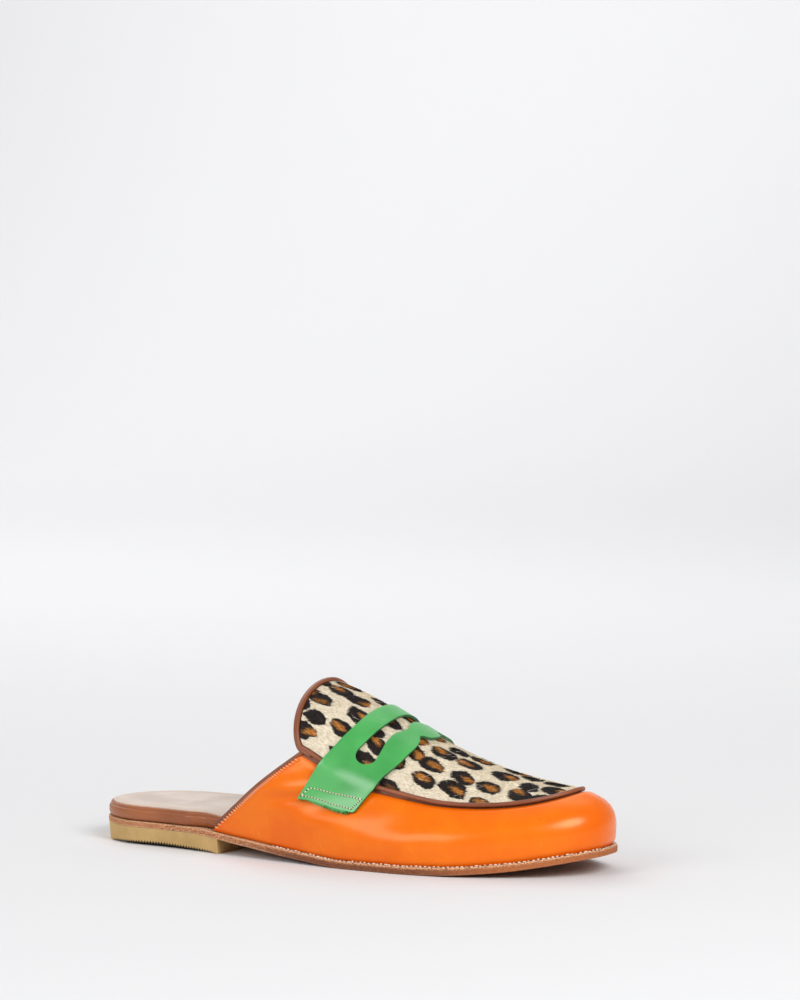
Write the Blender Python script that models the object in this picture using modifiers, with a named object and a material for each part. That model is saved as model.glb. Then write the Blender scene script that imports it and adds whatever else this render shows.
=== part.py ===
"""A right-foot slip-on mule: leather sole and low heel, closed rounded toe, open back.

All sizes are millimetres in the shoe's own plan: u runs from the heel's back to the toe, y is positive
on the medial side and z is up from the floor. to_scene() turns them into metres about the origin, which
is on the floor under the middle of the shoe, with +X to the toe.
"""
import bpy
import numpy as np

MM = 0.001

# Sole: plan length, end rounding and the bare rim outside the upper
LENGTH = 256.0
HEEL_ROUND = 34.0
HEEL_POWER = 2.1
TOE_ROUND = 62.0
TOE_POWER = 2.3
WELT = 1.2

# Heel block and the insole inside the upper
HEEL_LENGTH = 76.0
HEEL_TOP_INSET = 0.2
HEEL_FLOOR_INSET = 0.8
FOOTBED_TOP_INSET = 0.7
SOCK_THICK = 0.9
SOCK_INSET = 1.6

# Upper: wall, step for the apron, and the two ends of its opening
WALL = 2.4
APRON_RECESS = 1.25
STEP_RUN = 0.25
TOPLINE_FOOT = 72.0
THROAT = 123.0

# Wall curve between sole and apron: rise of its lower handle, swell and roll at toe and rear
RISE = 0.62
SWELL_TOE = 2.0
SWELL_REAR = 2.0
ROLL_TOE = 15.0
ROLL_REAR = 64.0
REACH = 0.5

# Apron with its tongue, the piping round it, the bindings and the saddle strap
APRON_TIP = 241.0
APRON_ROUND = 58.0
APRON_POWER = 2.2
APRON_THICK = 0.9
TONGUE_LONG = 9.5
TONGUE_POWER = 2.8
PIPING_RADIUS = 1.0
PIPING_INSET = 1.5
PIPING_RAISE = 0.2
BINDING_WIDE = 2.1
BINDING_PROUD = 0.3
BINDING_FLAT = 0.7
BINDING_CORNER = 0.8
BINDING_START = 0.04
BINDING_END = 0.95
STRAP_THICK = 1.5
STRAP_CLEAR = 0.5
STRAP_GIRTH = 71.0
STRAP_END_SLANT = 8.5
STRAP_SLANT_FROM = 46.0
STRAP_MEDIAL = 0.89
STRAP_HUMP = 1.2
STRAP_HUMP_WIDE = 8.0
SLOT_END = 40.0
SLOT_ROUND = 5.0
GAP = 0.3

# Half widths of the sole, its lift off the floor and its thickness, by share of the length
SOLE_COLUMNS = ("at", "lateral", "medial", "lift", "thick")
SOLE_ROWS = (
    (0.00, 29.0, 30.0, 8.2, 2.6),
    (0.12, 29.0, 30.5, 8.2, 2.6),
    (0.22, 31.5, 30.0, 8.2, 2.6),
    (0.34, 37.0, 28.0, 5.6, 3.0),
    (0.48, 42.0, 32.5, 1.8, 3.4),
    (0.58, 45.0, 38.0, 0.0, 3.4),
    (0.67, 45.5, 42.6, 0.0, 3.4),
    (0.75, 43.5, 43.8, 0.4, 3.4),
    (0.85, 38.0, 42.3, 2.4, 3.4),
    (1.00, 30.5, 36.0, 8.7, 3.2),
)

# Insole: distance inside the sole's edge and thickness
BED_COLUMNS = ("at", "inset", "thick")
BED_ROWS = (
    (0.00, 0.6, 5.8),
    (0.22, 0.6, 5.8),
    (0.26, 4.3, 5.7),
    (0.45, 4.3, 4.0),
    (1.00, 4.3, 3.5),
)

# Apron sections: line of the ridge, half widths, heights of ridge and edge, fullness of the arch
APRON_COLUMNS = ("at", "line", "lateral", "medial", "ridge", "edge", "full")
APRON_ROWS = (
    (0.43, 0.0, 39.5, 28.0, 79.4, 54.0, 0.60),
    (0.50, 0.0, 39.5, 29.0, 73.6, 46.0, 0.60),
    (0.56, 0.0, 37.5, 30.0, 67.0, 37.0, 0.60),
    (0.68, 0.0, 35.0, 32.0, 51.8, 31.2, 0.75),
    (0.81, 1.2, 31.0, 31.0, 41.0, 26.8, 0.90),
    (0.94, 2.9, 27.0, 27.0, 35.5, 22.6, 1.00),
)

# Saddle strap by girth down from the ridge: its two edges, and the middle and width of its slot
STRAP_COLUMNS = ("girth", "rear", "front", "slot", "slot_wide")
STRAP_ROWS = (
    (0.0, 144.0, 170.0, 155.0, 5.4),
    (4.0, 144.0, 169.3, 155.2, 5.9),
    (8.0, 143.8, 165.7, 155.9, 7.2),
    (12.0, 143.4, 167.6, 155.5, 6.9),
    (17.0, 142.9, 168.2, 154.4, 5.8),
    (23.0, 142.0, 167.4, 153.6, 6.3),
    (29.0, 140.6, 166.2, 152.9, 7.6),
    (35.0, 138.7, 164.0, 151.7, 8.8),
    (40.0, 137.1, 161.7, 149.9, 8.8),
    (52.0, 132.1, 157.2, 144.4, 8.8),
    (71.0, 123.0, 151.2, 136.0, 8.8),
)

# Mesh counts
PLAN_STEPS = 40
PLAN_ACROSS = 6
HEEL_STEPS = 16
SEAM_STEPS = 56
WALL_STEPS = 8
ARCH_STEPS = 16
TONGUE_STEPS = 4
BINDING_STEPS = 14
SLOT_STEPS = 12
SLOT_ROUND_STEPS = 4
STRAP_END_STEPS = 8
BAND_STEPS = 3
GIRTH_WALL_STEPS = 40
GIRTH_ARCH_STEPS = 80
GIRTH_STATIONS = 160

# Step for slopes taken as differences, and how near its edge the arch's slope is read
DIFFERENCE = 0.004
SLOPE_LIMIT = 0.97
SHARP_DEGREES = 40.0


def smooth(xs, ys, x):
    """Monotone cubic through the rows of a table."""
    xs = np.asarray(xs, float)
    ys = np.asarray(ys, float)
    width = np.diff(xs)
    slope = np.diff(ys) / width
    both = slope[:-1] * slope[1:]
    same = both > 0
    inner = np.where(same, 2 * both / np.where(same, slope[:-1] + slope[1:], 1.0), 0.0)
    tangent = np.concatenate([slope[:1], inner, slope[-1:]])
    x = np.clip(x, xs[0], xs[-1])
    k = np.clip(np.searchsorted(xs, x) - 1, 0, len(width) - 1)
    t = (x - xs[k]) / width[k]
    start = ys[k] * (1 + 2 * t) * (1 - t) ** 2 + tangent[k] * width[k] * t * (1 - t) ** 2
    end = ys[k + 1] * t * t * (3 - 2 * t) + tangent[k + 1] * width[k] * t * t * (t - 1)
    return start + end


def table(columns, rows, name, x):
    """Value of one named column at x, the first column's unit."""
    i = columns.index(name)
    return smooth([row[0] for row in rows], [row[i] for row in rows], x)


def sole(name, u):
    return table(SOLE_COLUMNS, SOLE_ROWS, name, u / LENGTH)


def bed(name, u):
    return table(BED_COLUMNS, BED_ROWS, name, u / LENGTH)


def arch(name, u):
    return table(APRON_COLUMNS, APRON_ROWS, name, u / LENGTH)


def end_round(distance, length, power):
    """Superellipse quarter: 0 at the end, 1 from length onwards."""
    t = np.clip(1 - distance / length, 0, 1)
    return (1 - t ** power) ** (1 / power)


def outline(angle):
    """Plan point of the sole's edge: angle 0 heel back, pi toe, lateral side first."""
    u = LENGTH / 2 * (1 - np.cos(angle))
    lateral = np.mod(angle, 2 * np.pi) < np.pi
    half = np.where(lateral, -sole("lateral", u), sole("medial", u))
    y = half * end_round(u, HEEL_ROUND, HEEL_POWER) * end_round(LENGTH - u, TOE_ROUND, TOE_POWER)
    return np.stack([u, y], -1)


def outline_normal(angle):
    """Outward plan normal of the sole's edge."""
    along = outline(angle + DIFFERENCE) - outline(angle - DIFFERENCE)
    normal = np.stack([along[..., 1], -along[..., 0]], -1)
    return normal / np.linalg.norm(normal, axis=-1, keepdims=True)


def plan_rows(angles, inset):
    """Grid of plan points: a row across the sole for each angle, inset(u) inside its edge."""
    ends = []
    for angle in (angles, 2 * np.pi - angles):
        edge = outline(angle)
        ends.append(edge - outline_normal(angle) * inset(edge[:, 0])[:, None])
    across = np.linspace(0, 1, PLAN_ACROSS + 1)[None, :, None]
    rows = ends[0][:, None] * (1 - across) + ends[1][:, None] * across
    middle = (ends[0] + ends[1]) / 2
    closed = np.abs(np.sin(angles)) < 1e-6
    rows[closed] = middle[closed][:, None]
    return rows


def raised(rows, height):
    """The grid of plan points with z = height(u)."""
    return np.concatenate([rows, height(rows[..., 0])[..., None]], -1)


def sole_top(u):
    return sole("lift", u) + sole("thick", u)


def bed_top(u):
    return sole_top(u) + GAP + bed("thick", u)


def feather(s):
    """Foot of the upper and its outward normal; s is -1 lateral rear, 0 toe, 1 medial rear."""
    u = TOPLINE_FOOT + (LENGTH - TOPLINE_FOOT) * np.sin(np.pi / 2 * (1 - np.abs(s)))
    angle = np.arccos(1 - 2 * u / LENGTH)
    angle = np.where(s < 0, angle, 2 * np.pi - angle)
    normal = outline_normal(angle)
    plan = outline(angle) - normal * WELT
    z = sole_top(plan[..., 0]) + GAP
    return np.concatenate([plan, z[..., None]], -1), np.concatenate([normal, 0 * z[..., None]], -1)


def apron_sheet(u, q):
    """Arch over the foot: q runs from -1 at the lateral edge through 0 on the ridge to 1."""
    half = np.where(q < 0, arch("lateral", u), arch("medial", u))
    rise = arch("ridge", u) - arch("edge", u)
    z = arch("edge", u) + rise * np.clip(1 - q * q, 0, 1) ** arch("full", u)
    return np.stack([u + 0 * q, arch("line", u) + half * q, z], -1)


def apron_place(points):
    """Inverse of apron_sheet in plan: u and q of points above it."""
    u = points[..., 0]
    y = points[..., 1] - arch("line", u)
    half = np.where(y < 0, arch("lateral", u), arch("medial", u))
    return u, np.clip(y / half, -1, 1)


def seam(s):
    """Apron seam as u and q, for the same s as the feather line."""
    u = THROAT + (APRON_TIP - THROAT) * np.sin(np.pi / 2 * (1 - np.abs(s)))
    return u, np.where(s < 0, -1.0, 1.0) * end_round(APRON_TIP - u, APRON_ROUND, APRON_POWER)


def tongue_edge(q):
    """Free rear edge of the tongue as u and q."""
    return THROAT - TONGUE_LONG * (1 - np.abs(q) ** TONGUE_POWER) ** (1 / TONGUE_POWER), q


def vamp(s, v):
    """Side wall: a cubic from the feather line (v 0), leaning with the topline, into the seam (v 1)."""
    foot, out = feather(s)
    top = apron_sheet(*seam(s))
    rear = np.abs(s)[..., None]
    rise = top - foot
    away = np.sum(rise * out, -1, keepdims=True)
    climb = rise - away * out
    roll = np.radians(ROLL_TOE + (ROLL_REAR - ROLL_TOE) * rear)
    reach = REACH * np.hypot(away, climb[..., 2:])
    low = foot + climb * RISE + out * (SWELL_TOE + (SWELL_REAR - SWELL_TOE) * rear)
    high = top + (out * np.cos(roll) - climb / climb[..., 2:] * np.sin(roll)) * reach
    v = v[..., None]
    return (1 - v) ** 3 * foot + 3 * (1 - v) ** 2 * v * low + 3 * (1 - v) * v ** 2 * high + v ** 3 * top


def apron_loop():
    """Closed loop round the apron: along the seam from the lateral throat, then back round the tongue."""
    seam_u, seam_q = seam(np.linspace(-1, 1, SEAM_STEPS + 1))
    tongue_u, tongue_q = tongue_edge(arch_shares()[1:-1][::-1])
    return apron_sheet(np.concatenate([seam_u, tongue_u]), np.concatenate([seam_q, tongue_q]))


def arch_shares():
    """Columns across the arch, closer together at its steep sides."""
    return np.sin(np.linspace(-np.pi / 2, np.pi / 2, ARCH_STEPS + 1))


def sheet_normal(u, q):
    """Upward unit normal of the apron sheet."""
    q = np.clip(q, -SLOPE_LIMIT, SLOPE_LIMIT)
    along = apron_sheet(u + DIFFERENCE, q) - apron_sheet(u - DIFFERENCE, q)
    across = apron_sheet(u, q + DIFFERENCE) - apron_sheet(u, q - DIFFERENCE)
    normal = np.cross(along, across)
    return normal / np.linalg.norm(normal, axis=-1, keepdims=True)


def inset_loop(inset):
    """The apron's loop moved inwards over its sheet, as u and q."""
    loop = apron_loop()
    along = np.roll(loop, -1, 0) - np.roll(loop, 1, 0)
    along /= np.linalg.norm(along, axis=1, keepdims=True)
    inwards = np.cross(sheet_normal(*apron_place(loop)), along)
    return apron_place(loop + inwards * inset)


def apron_grid(inset):
    """Rows over the apron from its toe to the tongue's edge, inside the loop by inset."""
    loop_u, loop_q = inset_loop(inset)
    toe = SEAM_STEPS // 2
    share = (arch_shares() + 1) / 2
    rows = []
    for step in range(toe + 1):
        lateral = toe - step
        medial = toe + step
        u = loop_u[lateral] + (loop_u[medial] - loop_u[lateral]) * share
        rows.append((u, loop_q[lateral] + (loop_q[medial] - loop_q[lateral]) * share))
    throat_u, throat_q = rows[-1]
    edge = np.r_[0, np.arange(len(loop_u) - 1, SEAM_STEPS - 1, -1)]
    for step in range(1, TONGUE_STEPS + 1):
        back = step / TONGUE_STEPS
        u = throat_u + (loop_u[edge] - throat_u) * back
        rows.append((u, throat_q + (loop_q[edge] - throat_q) * back))
    return np.array([row[0] for row in rows]), np.array([row[1] for row in rows])


def grid_faces(rows, columns, start=0):
    """Quads of a grid whose normals point along row step times column step."""
    index = start + np.arange(rows * columns).reshape(rows, columns)
    corners = (index[:-1, :-1], index[1:, :-1], index[1:, 1:], index[:-1, 1:])
    return np.stack(corners, -1).reshape(-1, 4).tolist()


def weld(points, faces):
    """Points that share a place become one, and faces lose their repeated corners."""
    places, first, where = np.unique(np.round(points, 4), axis=0, return_index=True, return_inverse=True)
    where = where.ravel()
    kept = []
    for face in faces:
        corners = list(dict.fromkeys(int(where[corner]) for corner in face))
        if len(corners) > 2:
            kept.append(corners)
    return points[first], kept, first


def point_normals(points, faces):
    """Unit normal at each point of a sheet, from the areas of its faces."""
    total = np.zeros_like(points)
    for face in faces:
        corner = points[face]
        area = np.cross(corner[2] - corner[0], corner[-1] - corner[1])
        if len(face) == 3:
            area = np.cross(corner[1] - corner[0], corner[2] - corner[0])
        total[face] += area
    return total / np.linalg.norm(total, axis=1, keepdims=True)


def to_scene(points):
    """Millimetres of the plan to metres about the origin."""
    lateral = max(row[SOLE_COLUMNS.index("lateral")] for row in SOLE_ROWS)
    medial = max(row[SOLE_COLUMNS.index("medial")] for row in SOLE_ROWS)
    return (points - np.array([LENGTH / 2, (medial - lateral) / 2, 0.0])) * MM


def material(name, colour, roughness):
    finish = bpy.data.materials.new(name)
    finish.use_nodes = True
    shader = finish.node_tree.nodes["Principled BSDF"]
    shader.inputs["Base Color"].default_value = (*colour, 1.0)
    shader.inputs["Roughness"].default_value = roughness
    shader.inputs["Metallic"].default_value = 0.0
    return finish


def add_piece(name, data, colour, roughness):
    """Object with its own finish in the shoe's collection."""
    piece = bpy.data.objects.new(name, data)
    data.materials.append(material(name, colour, roughness))
    SHOE.objects.link(piece)
    return piece


def add_mesh(name, points, faces, colour, roughness):
    mesh = bpy.data.meshes.new(name)
    mesh.from_pydata(to_scene(points).tolist(), [], faces)
    mesh.validate()
    mesh.shade_smooth()
    mesh.set_sharp_from_angle(angle=np.radians(SHARP_DEGREES))
    return add_piece(name, mesh, colour, roughness)


def add_shell(name, points, faces, thickness, colour, roughness):
    """Open sheet thickened along its normals."""
    points, faces, _ = weld(points, faces)
    piece = add_mesh(name, points, faces, colour, roughness)
    shell = piece.modifiers.new("thickness", "SOLIDIFY")
    shell.thickness = thickness * MM
    shell.offset = 1.0
    shell.use_even_offset = True
    return piece


def add_loft(name, high, low, faces, colour, roughness):
    """Closed solid between two sheets with the same faces; high lies on the side of their normals."""
    count = len(high)
    edges = {(face[i - 1], face[i]) for face in faces for i in range(len(face))}
    walls = [[b, a, a + count, b + count] for a, b in sorted(edges) if (b, a) not in edges]
    inner = [[corner + count for corner in reversed(face)] for face in faces]
    points, solid, _ = weld(np.concatenate([high, low]), faces + inner + walls)
    return add_mesh(name, points, solid, colour, roughness)


def plan_faces(steps):
    """Faces of a plan grid, pointing up."""
    return grid_faces(steps + 1, PLAN_ACROSS + 1)


def make_outsole():
    """Leather sole with an arch, a toe spring and a flat tread under the ball of the foot."""
    rows = plan_rows(np.linspace(0, np.pi, PLAN_STEPS + 1), lambda u: 0 * u)
    high = raised(rows, sole_top).reshape(-1, 3)
    low = raised(rows, lambda u: sole("lift", u)).reshape(-1, 3)
    return add_loft("outsole", high, low, plan_faces(PLAN_STEPS), (0.50, 0.24, 0.12), 0.7)


def make_heel():
    """Low stacked heel with a straight breast, tapered a little to the floor."""
    last = np.arccos(1 - 2 * HEEL_LENGTH / LENGTH)
    angles = np.linspace(0, last, HEEL_STEPS + 1)
    top_rows = plan_rows(angles, lambda u: 0 * u + HEEL_TOP_INSET)
    floor_rows = plan_rows(angles, lambda u: 0 * u + HEEL_FLOOR_INSET)
    high = raised(top_rows, lambda u: sole("lift", u) - GAP).reshape(-1, 3)
    low = raised(floor_rows, lambda u: 0 * u).reshape(-1, 3)
    return add_loft("heel", high, low, plan_faces(HEEL_STEPS), (0.52, 0.34, 0.13), 0.75)


def make_footbed():
    """Wrapped insole: it shows at the open heel and narrows to lie inside the upper."""
    angles = np.linspace(0, np.pi, PLAN_STEPS + 1)
    low = raised(plan_rows(angles, lambda u: bed("inset", u)), lambda u: sole_top(u) + GAP)
    high = raised(plan_rows(angles, lambda u: bed("inset", u) + FOOTBED_TOP_INSET), bed_top)
    return add_loft("footbed", high.reshape(-1, 3), low.reshape(-1, 3), plan_faces(PLAN_STEPS),
                    (0.34, 0.12, 0.045), 0.5)


def make_sock():
    """Pale leather sock on the footbed."""
    rows = plan_rows(np.linspace(0, np.pi, PLAN_STEPS + 1), lambda u: bed("inset", u) + SOCK_INSET)
    sheet = raised(rows, lambda u: bed_top(u) + GAP).reshape(-1, 3)
    return add_shell("sock", sheet, plan_faces(PLAN_STEPS), SOCK_THICK, (0.68, 0.58, 0.50), 0.6)


def make_upper():
    """One hollow wall: sides, toe, apron backing and tongue, with a step down where the apron lies."""
    s, v = np.meshgrid(np.linspace(-1, 1, SEAM_STEPS + 1), np.linspace(0, 1, WALL_STEPS + 1), indexing="ij")
    wall = vamp(s, v).reshape(-1, 3)
    wall_faces = grid_faces(SEAM_STEPS + 1, WALL_STEPS + 1)
    u, q = apron_grid(STEP_RUN)
    rows, columns = u.shape
    backing = apron_sheet(u, q).reshape(-1, 3)
    start = len(wall)
    backing_faces = [face[::-1] for face in grid_faces(rows, columns, start)]
    toe = SEAM_STEPS // 2
    rim = [start + abs(i - toe) * columns + (0 if i < toe else columns - 1) for i in range(SEAM_STEPS + 1)]
    top = [i * (WALL_STEPS + 1) + WALL_STEPS for i in range(SEAM_STEPS + 1)]
    step_faces = [[top[i], top[i + 1], rim[i + 1], rim[i]] for i in range(SEAM_STEPS)]
    points, faces, first = weld(np.concatenate([wall, backing]), wall_faces + backing_faces + step_faces)
    normal = point_normals(points, faces)
    lowered = np.where(first >= start, APRON_RECESS, 0.0)[:, None]
    outer = points - normal * lowered
    inner = points - normal * WALL
    feet = (first < start) & (first % (WALL_STEPS + 1) == 0)
    foot, out = feather(s[:, 0][first[feet] // (WALL_STEPS + 1)])
    inner[feet] = foot - out * WALL
    inner[feet, 2] = sole_top(inner[feet, 0]) + GAP
    return add_loft("upper", outer, inner, faces, (0.90, 0.20, 0.005), 0.35)


def make_apron():
    """Hair-on hide over the instep and tongue, let into the step of the upper."""
    u, q = apron_grid(PIPING_INSET + PIPING_RADIUS + GAP)
    sheet = apron_sheet(u, q) - sheet_normal(u, q) * APRON_THICK
    faces = [face[::-1] for face in grid_faces(*u.shape)]
    return add_shell("apron", sheet.reshape(-1, 3), faces, APRON_THICK, (0.66, 0.58, 0.44), 0.8)


def make_piping():
    """Brown cord in one loop round the apron and the tongue's edge."""
    place = inset_loop(PIPING_INSET)
    path = to_scene(apron_sheet(*place) + sheet_normal(*place) * PIPING_RAISE)
    curve = bpy.data.curves.new("piping", "CURVE")
    curve.dimensions = "3D"
    curve.bevel_depth = PIPING_RADIUS * MM
    curve.bevel_resolution = 2
    spline = curve.splines.new("POLY")
    spline.points.add(len(path) - 1)
    spline.points.foreach_set("co", np.c_[path, np.ones(len(path))].ravel())
    spline.use_cyclic_u = True
    return add_piece("piping", curve, (0.36, 0.12, 0.05), 0.45)


def make_binding(name, side):
    """Brown binding along the topline, on the rear edge of the upper's wall."""
    v = np.linspace(BINDING_START, BINDING_END, BINDING_STEPS + 1)
    step = DIFFERENCE
    edge = vamp(0 * v + side, v)
    along = vamp(0 * v + side, v + step) - vamp(0 * v + side, v - step)
    along /= np.linalg.norm(along, axis=1, keepdims=True)
    forward = vamp(0 * v + side * (1 - step), v) - edge
    normal = np.cross(forward, along) * -side
    normal /= np.linalg.norm(normal, axis=1, keepdims=True)
    back = np.cross(normal, along) * -side
    high = BINDING_PROUD
    low = -WALL - BINDING_PROUD
    flat = GAP + BINDING_FLAT * BINDING_WIDE
    far = GAP + BINDING_WIDE
    section = ((GAP, high), (flat, high), (far, high - BINDING_CORNER),
               (far, low + BINDING_CORNER), (flat, low), (GAP, low))
    rings = np.stack([edge + back * out + normal * lift for out, lift in section], 1)
    count = len(section)
    index = np.arange(rings.size // 3).reshape(-1, count)
    turn = np.roll(index, -1, 1)
    sides = np.stack([index[:-1], turn[:-1], turn[1:], index[1:]], -1).reshape(-1, 4).tolist()
    faces = sides + [index[0][::-1].tolist(), index[-1].tolist()]
    if side < 0:
        faces = [face[::-1] for face in faces]
    return add_mesh(name, rings.reshape(-1, 3), faces, (0.36, 0.12, 0.05), 0.5)


def wall_line(wall, station):
    """Upright section of one side wall, from its foot or topline up to the seam."""
    line = []
    for column in np.swapaxes(wall, 0, 1):
        if column[-1, 0] <= station:
            line.append([np.interp(station, column[::-1, 0], column[::-1, axis]) for axis in range(3)])
    return np.array(line)


def strap_point(walls, station, girth):
    """Point under the strap on the upright section at a station, and its girth from the piping."""
    u, q = apron_place(np.array([[station, -LENGTH, 0.0], [station, LENGTH, 0.0]]))
    q = q * end_round(APRON_TIP - station, APRON_ROUND, APRON_POWER)
    over = apron_sheet(u[0], np.sin(np.linspace(-np.pi / 2, np.pi / 2, GIRTH_ARCH_STEPS + 1)) * q[1])
    lateral = wall_line(walls[0], station)[:-1]
    medial = wall_line(walls[1], station)[-2::-1]
    points = np.concatenate([lateral, over, medial])
    along = np.concatenate([[0.0], np.cumsum(np.linalg.norm(np.diff(points, axis=0), axis=1))])
    along -= along[len(lateral) + GIRTH_ARCH_STEPS // 2]
    place = [np.interp(girth, along, points[:, axis]) for axis in range(3)]
    piping = along[len(lateral)] + PIPING_INSET
    if girth > 0:
        piping = along[len(lateral) + GIRTH_ARCH_STEPS] - PIPING_INSET
    return place + [girth - piping]


def strap_girths():
    """Girths of the strap's columns: over the slot, round the slot's end, and down to the strap's end."""
    over = np.linspace(0, SLOT_END - SLOT_ROUND, SLOT_STEPS + 1)
    end = SLOT_END - SLOT_ROUND + SLOT_ROUND * np.sin(np.linspace(0, np.pi / 2, SLOT_ROUND_STEPS + 1))
    rest = np.linspace(SLOT_END, STRAP_GIRTH, STRAP_END_STEPS + 1)
    half = np.concatenate([over, end[1:], rest[1:]])
    return np.concatenate([-half[:0:-1], half])


def make_strap():
    """Saddle strap across the instep: two bands with a slot between, and an end on each side wall."""
    stations = np.linspace(0, 1, GIRTH_STATIONS + 1)
    s, v = np.meshgrid(stations, np.linspace(0, 1, GIRTH_WALL_STEPS + 1), indexing="ij")
    walls = (vamp(-s, v), vamp(s, v))
    signed = strap_girths()
    girth = np.abs(signed)
    edge = {name: table(STRAP_COLUMNS, STRAP_ROWS, name, girth) for name in STRAP_COLUMNS[1:]}
    half_slot = edge["slot_wide"] / 2 * end_round(SLOT_END - girth, SLOT_ROUND, 2.0)
    bands = ((edge["rear"], edge["slot"] - half_slot), (edge["slot"] + half_slot, edge["front"]))
    slant = STRAP_END_SLANT * np.clip((girth - STRAP_SLANT_FROM) / (STRAP_GIRTH - STRAP_SLANT_FROM), 0, 1)
    points = []
    faces = []
    for band, (rear, front) in enumerate(bands):
        faces += grid_faces(len(girth), BAND_STEPS + 1, len(points))
        for i, side in enumerate(np.sign(signed)):
            for step in range(BAND_STEPS + 1):
                across = step / BAND_STEPS
                down = girth[i] - slant[i] * (band + across) / 2
                reach = side * down * (STRAP_MEDIAL if side > 0 else 1.0)
                points.append(strap_point(walls, rear[i] + (front[i] - rear[i]) * across, reach))
    data = np.array(points)
    under, faces, first = weld(data[:, :3], [face[::-1] for face in faces])
    hump = STRAP_HUMP * np.exp(-(data[first, 3:] / STRAP_HUMP_WIDE) ** 2)
    under = under + point_normals(under, faces) * (STRAP_CLEAR + hump)
    return add_shell("strap", under, faces, STRAP_THICK, (0.09, 0.50, 0.12), 0.3)


for old in list(bpy.data.objects):
    bpy.data.objects.remove(old)
SHOE = bpy.data.collections.new("mule")
bpy.context.scene.collection.children.link(SHOE)

make_outsole()
make_heel()
make_footbed()
make_sock()
make_upper()
make_apron()
make_piping()
make_binding("topline_binding_lateral", -1.0)
make_binding("topline_binding_medial", 1.0)
make_strap()
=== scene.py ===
"""Looks of a right-foot slip-on mule: every solid of the frame gets its finished surface here.

Sizes are millimetres in the shoe's plan: u runs from the heel's back to the toe, y is positive on the
medial side and z is up from the floor. to_scene() turns them into the frame's metres.
"""
import bmesh
import bpy
import numpy as np
from mathutils import Matrix


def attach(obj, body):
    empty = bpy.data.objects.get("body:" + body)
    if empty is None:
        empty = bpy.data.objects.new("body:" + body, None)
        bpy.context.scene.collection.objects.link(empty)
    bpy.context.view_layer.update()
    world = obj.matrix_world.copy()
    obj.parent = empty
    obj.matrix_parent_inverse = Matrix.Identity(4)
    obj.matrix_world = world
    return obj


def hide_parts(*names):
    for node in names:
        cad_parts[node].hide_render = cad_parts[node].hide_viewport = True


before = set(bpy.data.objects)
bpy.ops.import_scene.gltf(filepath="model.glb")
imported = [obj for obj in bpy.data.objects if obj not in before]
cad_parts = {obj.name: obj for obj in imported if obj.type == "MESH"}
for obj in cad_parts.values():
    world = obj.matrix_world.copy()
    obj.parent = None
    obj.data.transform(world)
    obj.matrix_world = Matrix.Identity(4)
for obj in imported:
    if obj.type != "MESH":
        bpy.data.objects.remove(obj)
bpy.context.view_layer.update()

# Outsole: one leather sole cut to the last, lifted under the arch and sprung at the toe.
# Its edge is trimmed and sanded, so it stays granular, paler at its two corners, and it
# is glued under the footbed and under the turned-in edge of the upper.
MM = 0.001
LENGTH = 256.0
HEEL_ROUND = 34.0
HEEL_POWER = 2.1
TOE_ROUND = 62.0
TOE_POWER = 2.3
SOLE_RINGS = 340
LAYER_ACROSS = 12
OUTLINE_STEPS = 2000
DIFFERENCE = 0.004
WELD = 2e-6
SHARP_DEGREES = 42.0
# Side profile of a layer of the sole: depth of its rounding in mm, its power and its steps
SOLE_SIDE = (0.55, 4.5, 10)
SOLE_COLUMNS = ("at", "lateral", "medial", "lift", "thick")
SOLE_ROWS = (
    (0.00, 29.0, 30.0, 8.2, 2.6),
    (0.12, 29.0, 30.5, 8.2, 2.6),
    (0.22, 31.5, 30.0, 8.2, 2.6),
    (0.34, 37.0, 28.0, 5.6, 3.0),
    (0.48, 42.0, 32.5, 1.8, 3.4),
    (0.58, 45.0, 38.0, 0.0, 3.4),
    (0.67, 45.5, 42.6, 0.0, 3.4),
    (0.75, 43.5, 43.8, 0.4, 3.4),
    (0.85, 38.0, 42.3, 2.4, 3.4),
    (1.00, 30.5, 36.0, 8.7, 3.2),
)


def smooth(xs, ys, x):
    """Monotone cubic through the rows of a table: harmonic-mean slopes, Hermite pieces."""
    xs = np.asarray(xs, float)
    ys = np.asarray(ys, float)
    width = np.diff(xs)
    slope = np.diff(ys) / width
    both = slope[:-1] * slope[1:]
    same = both > 0
    inner = np.where(same, 2 * both / np.where(same, slope[:-1] + slope[1:], 1.0), 0.0)
    tangent = np.concatenate([slope[:1], inner, slope[-1:]])
    x = np.clip(x, xs[0], xs[-1])
    k = np.clip(np.searchsorted(xs, x) - 1, 0, len(width) - 1)
    t = (x - xs[k]) / width[k]
    start = ys[k] * (1 + 2 * t) * (1 - t) ** 2 + tangent[k] * width[k] * t * (1 - t) ** 2
    end = ys[k + 1] * t * t * (3 - 2 * t) + tangent[k + 1] * width[k] * t * t * (t - 1)
    return start + end


def table(columns, rows, name, x):
    """Value of one named column at x, in the first column's unit."""
    i = columns.index(name)
    return smooth([row[0] for row in rows], [row[i] for row in rows], x)


def sole(name, u):
    return table(SOLE_COLUMNS, SOLE_ROWS, name, u / LENGTH)


def end_round(distance, length, power):
    """Superellipse quarter: 0 at the end, 1 from length onwards."""
    t = np.clip(1 - distance / length, 0, 1)
    return (1 - t ** power) ** (1 / power)


def outline(angle):
    """Plan point of the sole's edge: half width by table, rounded off at heel and toe.
    Angle 0 is the heel's back and pi the toe, and the lateral side comes first."""
    u = LENGTH / 2 * (1 - np.cos(angle))
    lateral = np.mod(angle, 2 * np.pi) < np.pi
    half = np.where(lateral, -sole("lateral", u), sole("medial", u))
    y = half * end_round(u, HEEL_ROUND, HEEL_POWER) * end_round(LENGTH - u, TOE_ROUND, TOE_POWER)
    return np.stack([u, y], -1)


def unit(vectors):
    return vectors / np.maximum(np.linalg.norm(vectors, axis=-1, keepdims=True), 1e-12)


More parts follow.
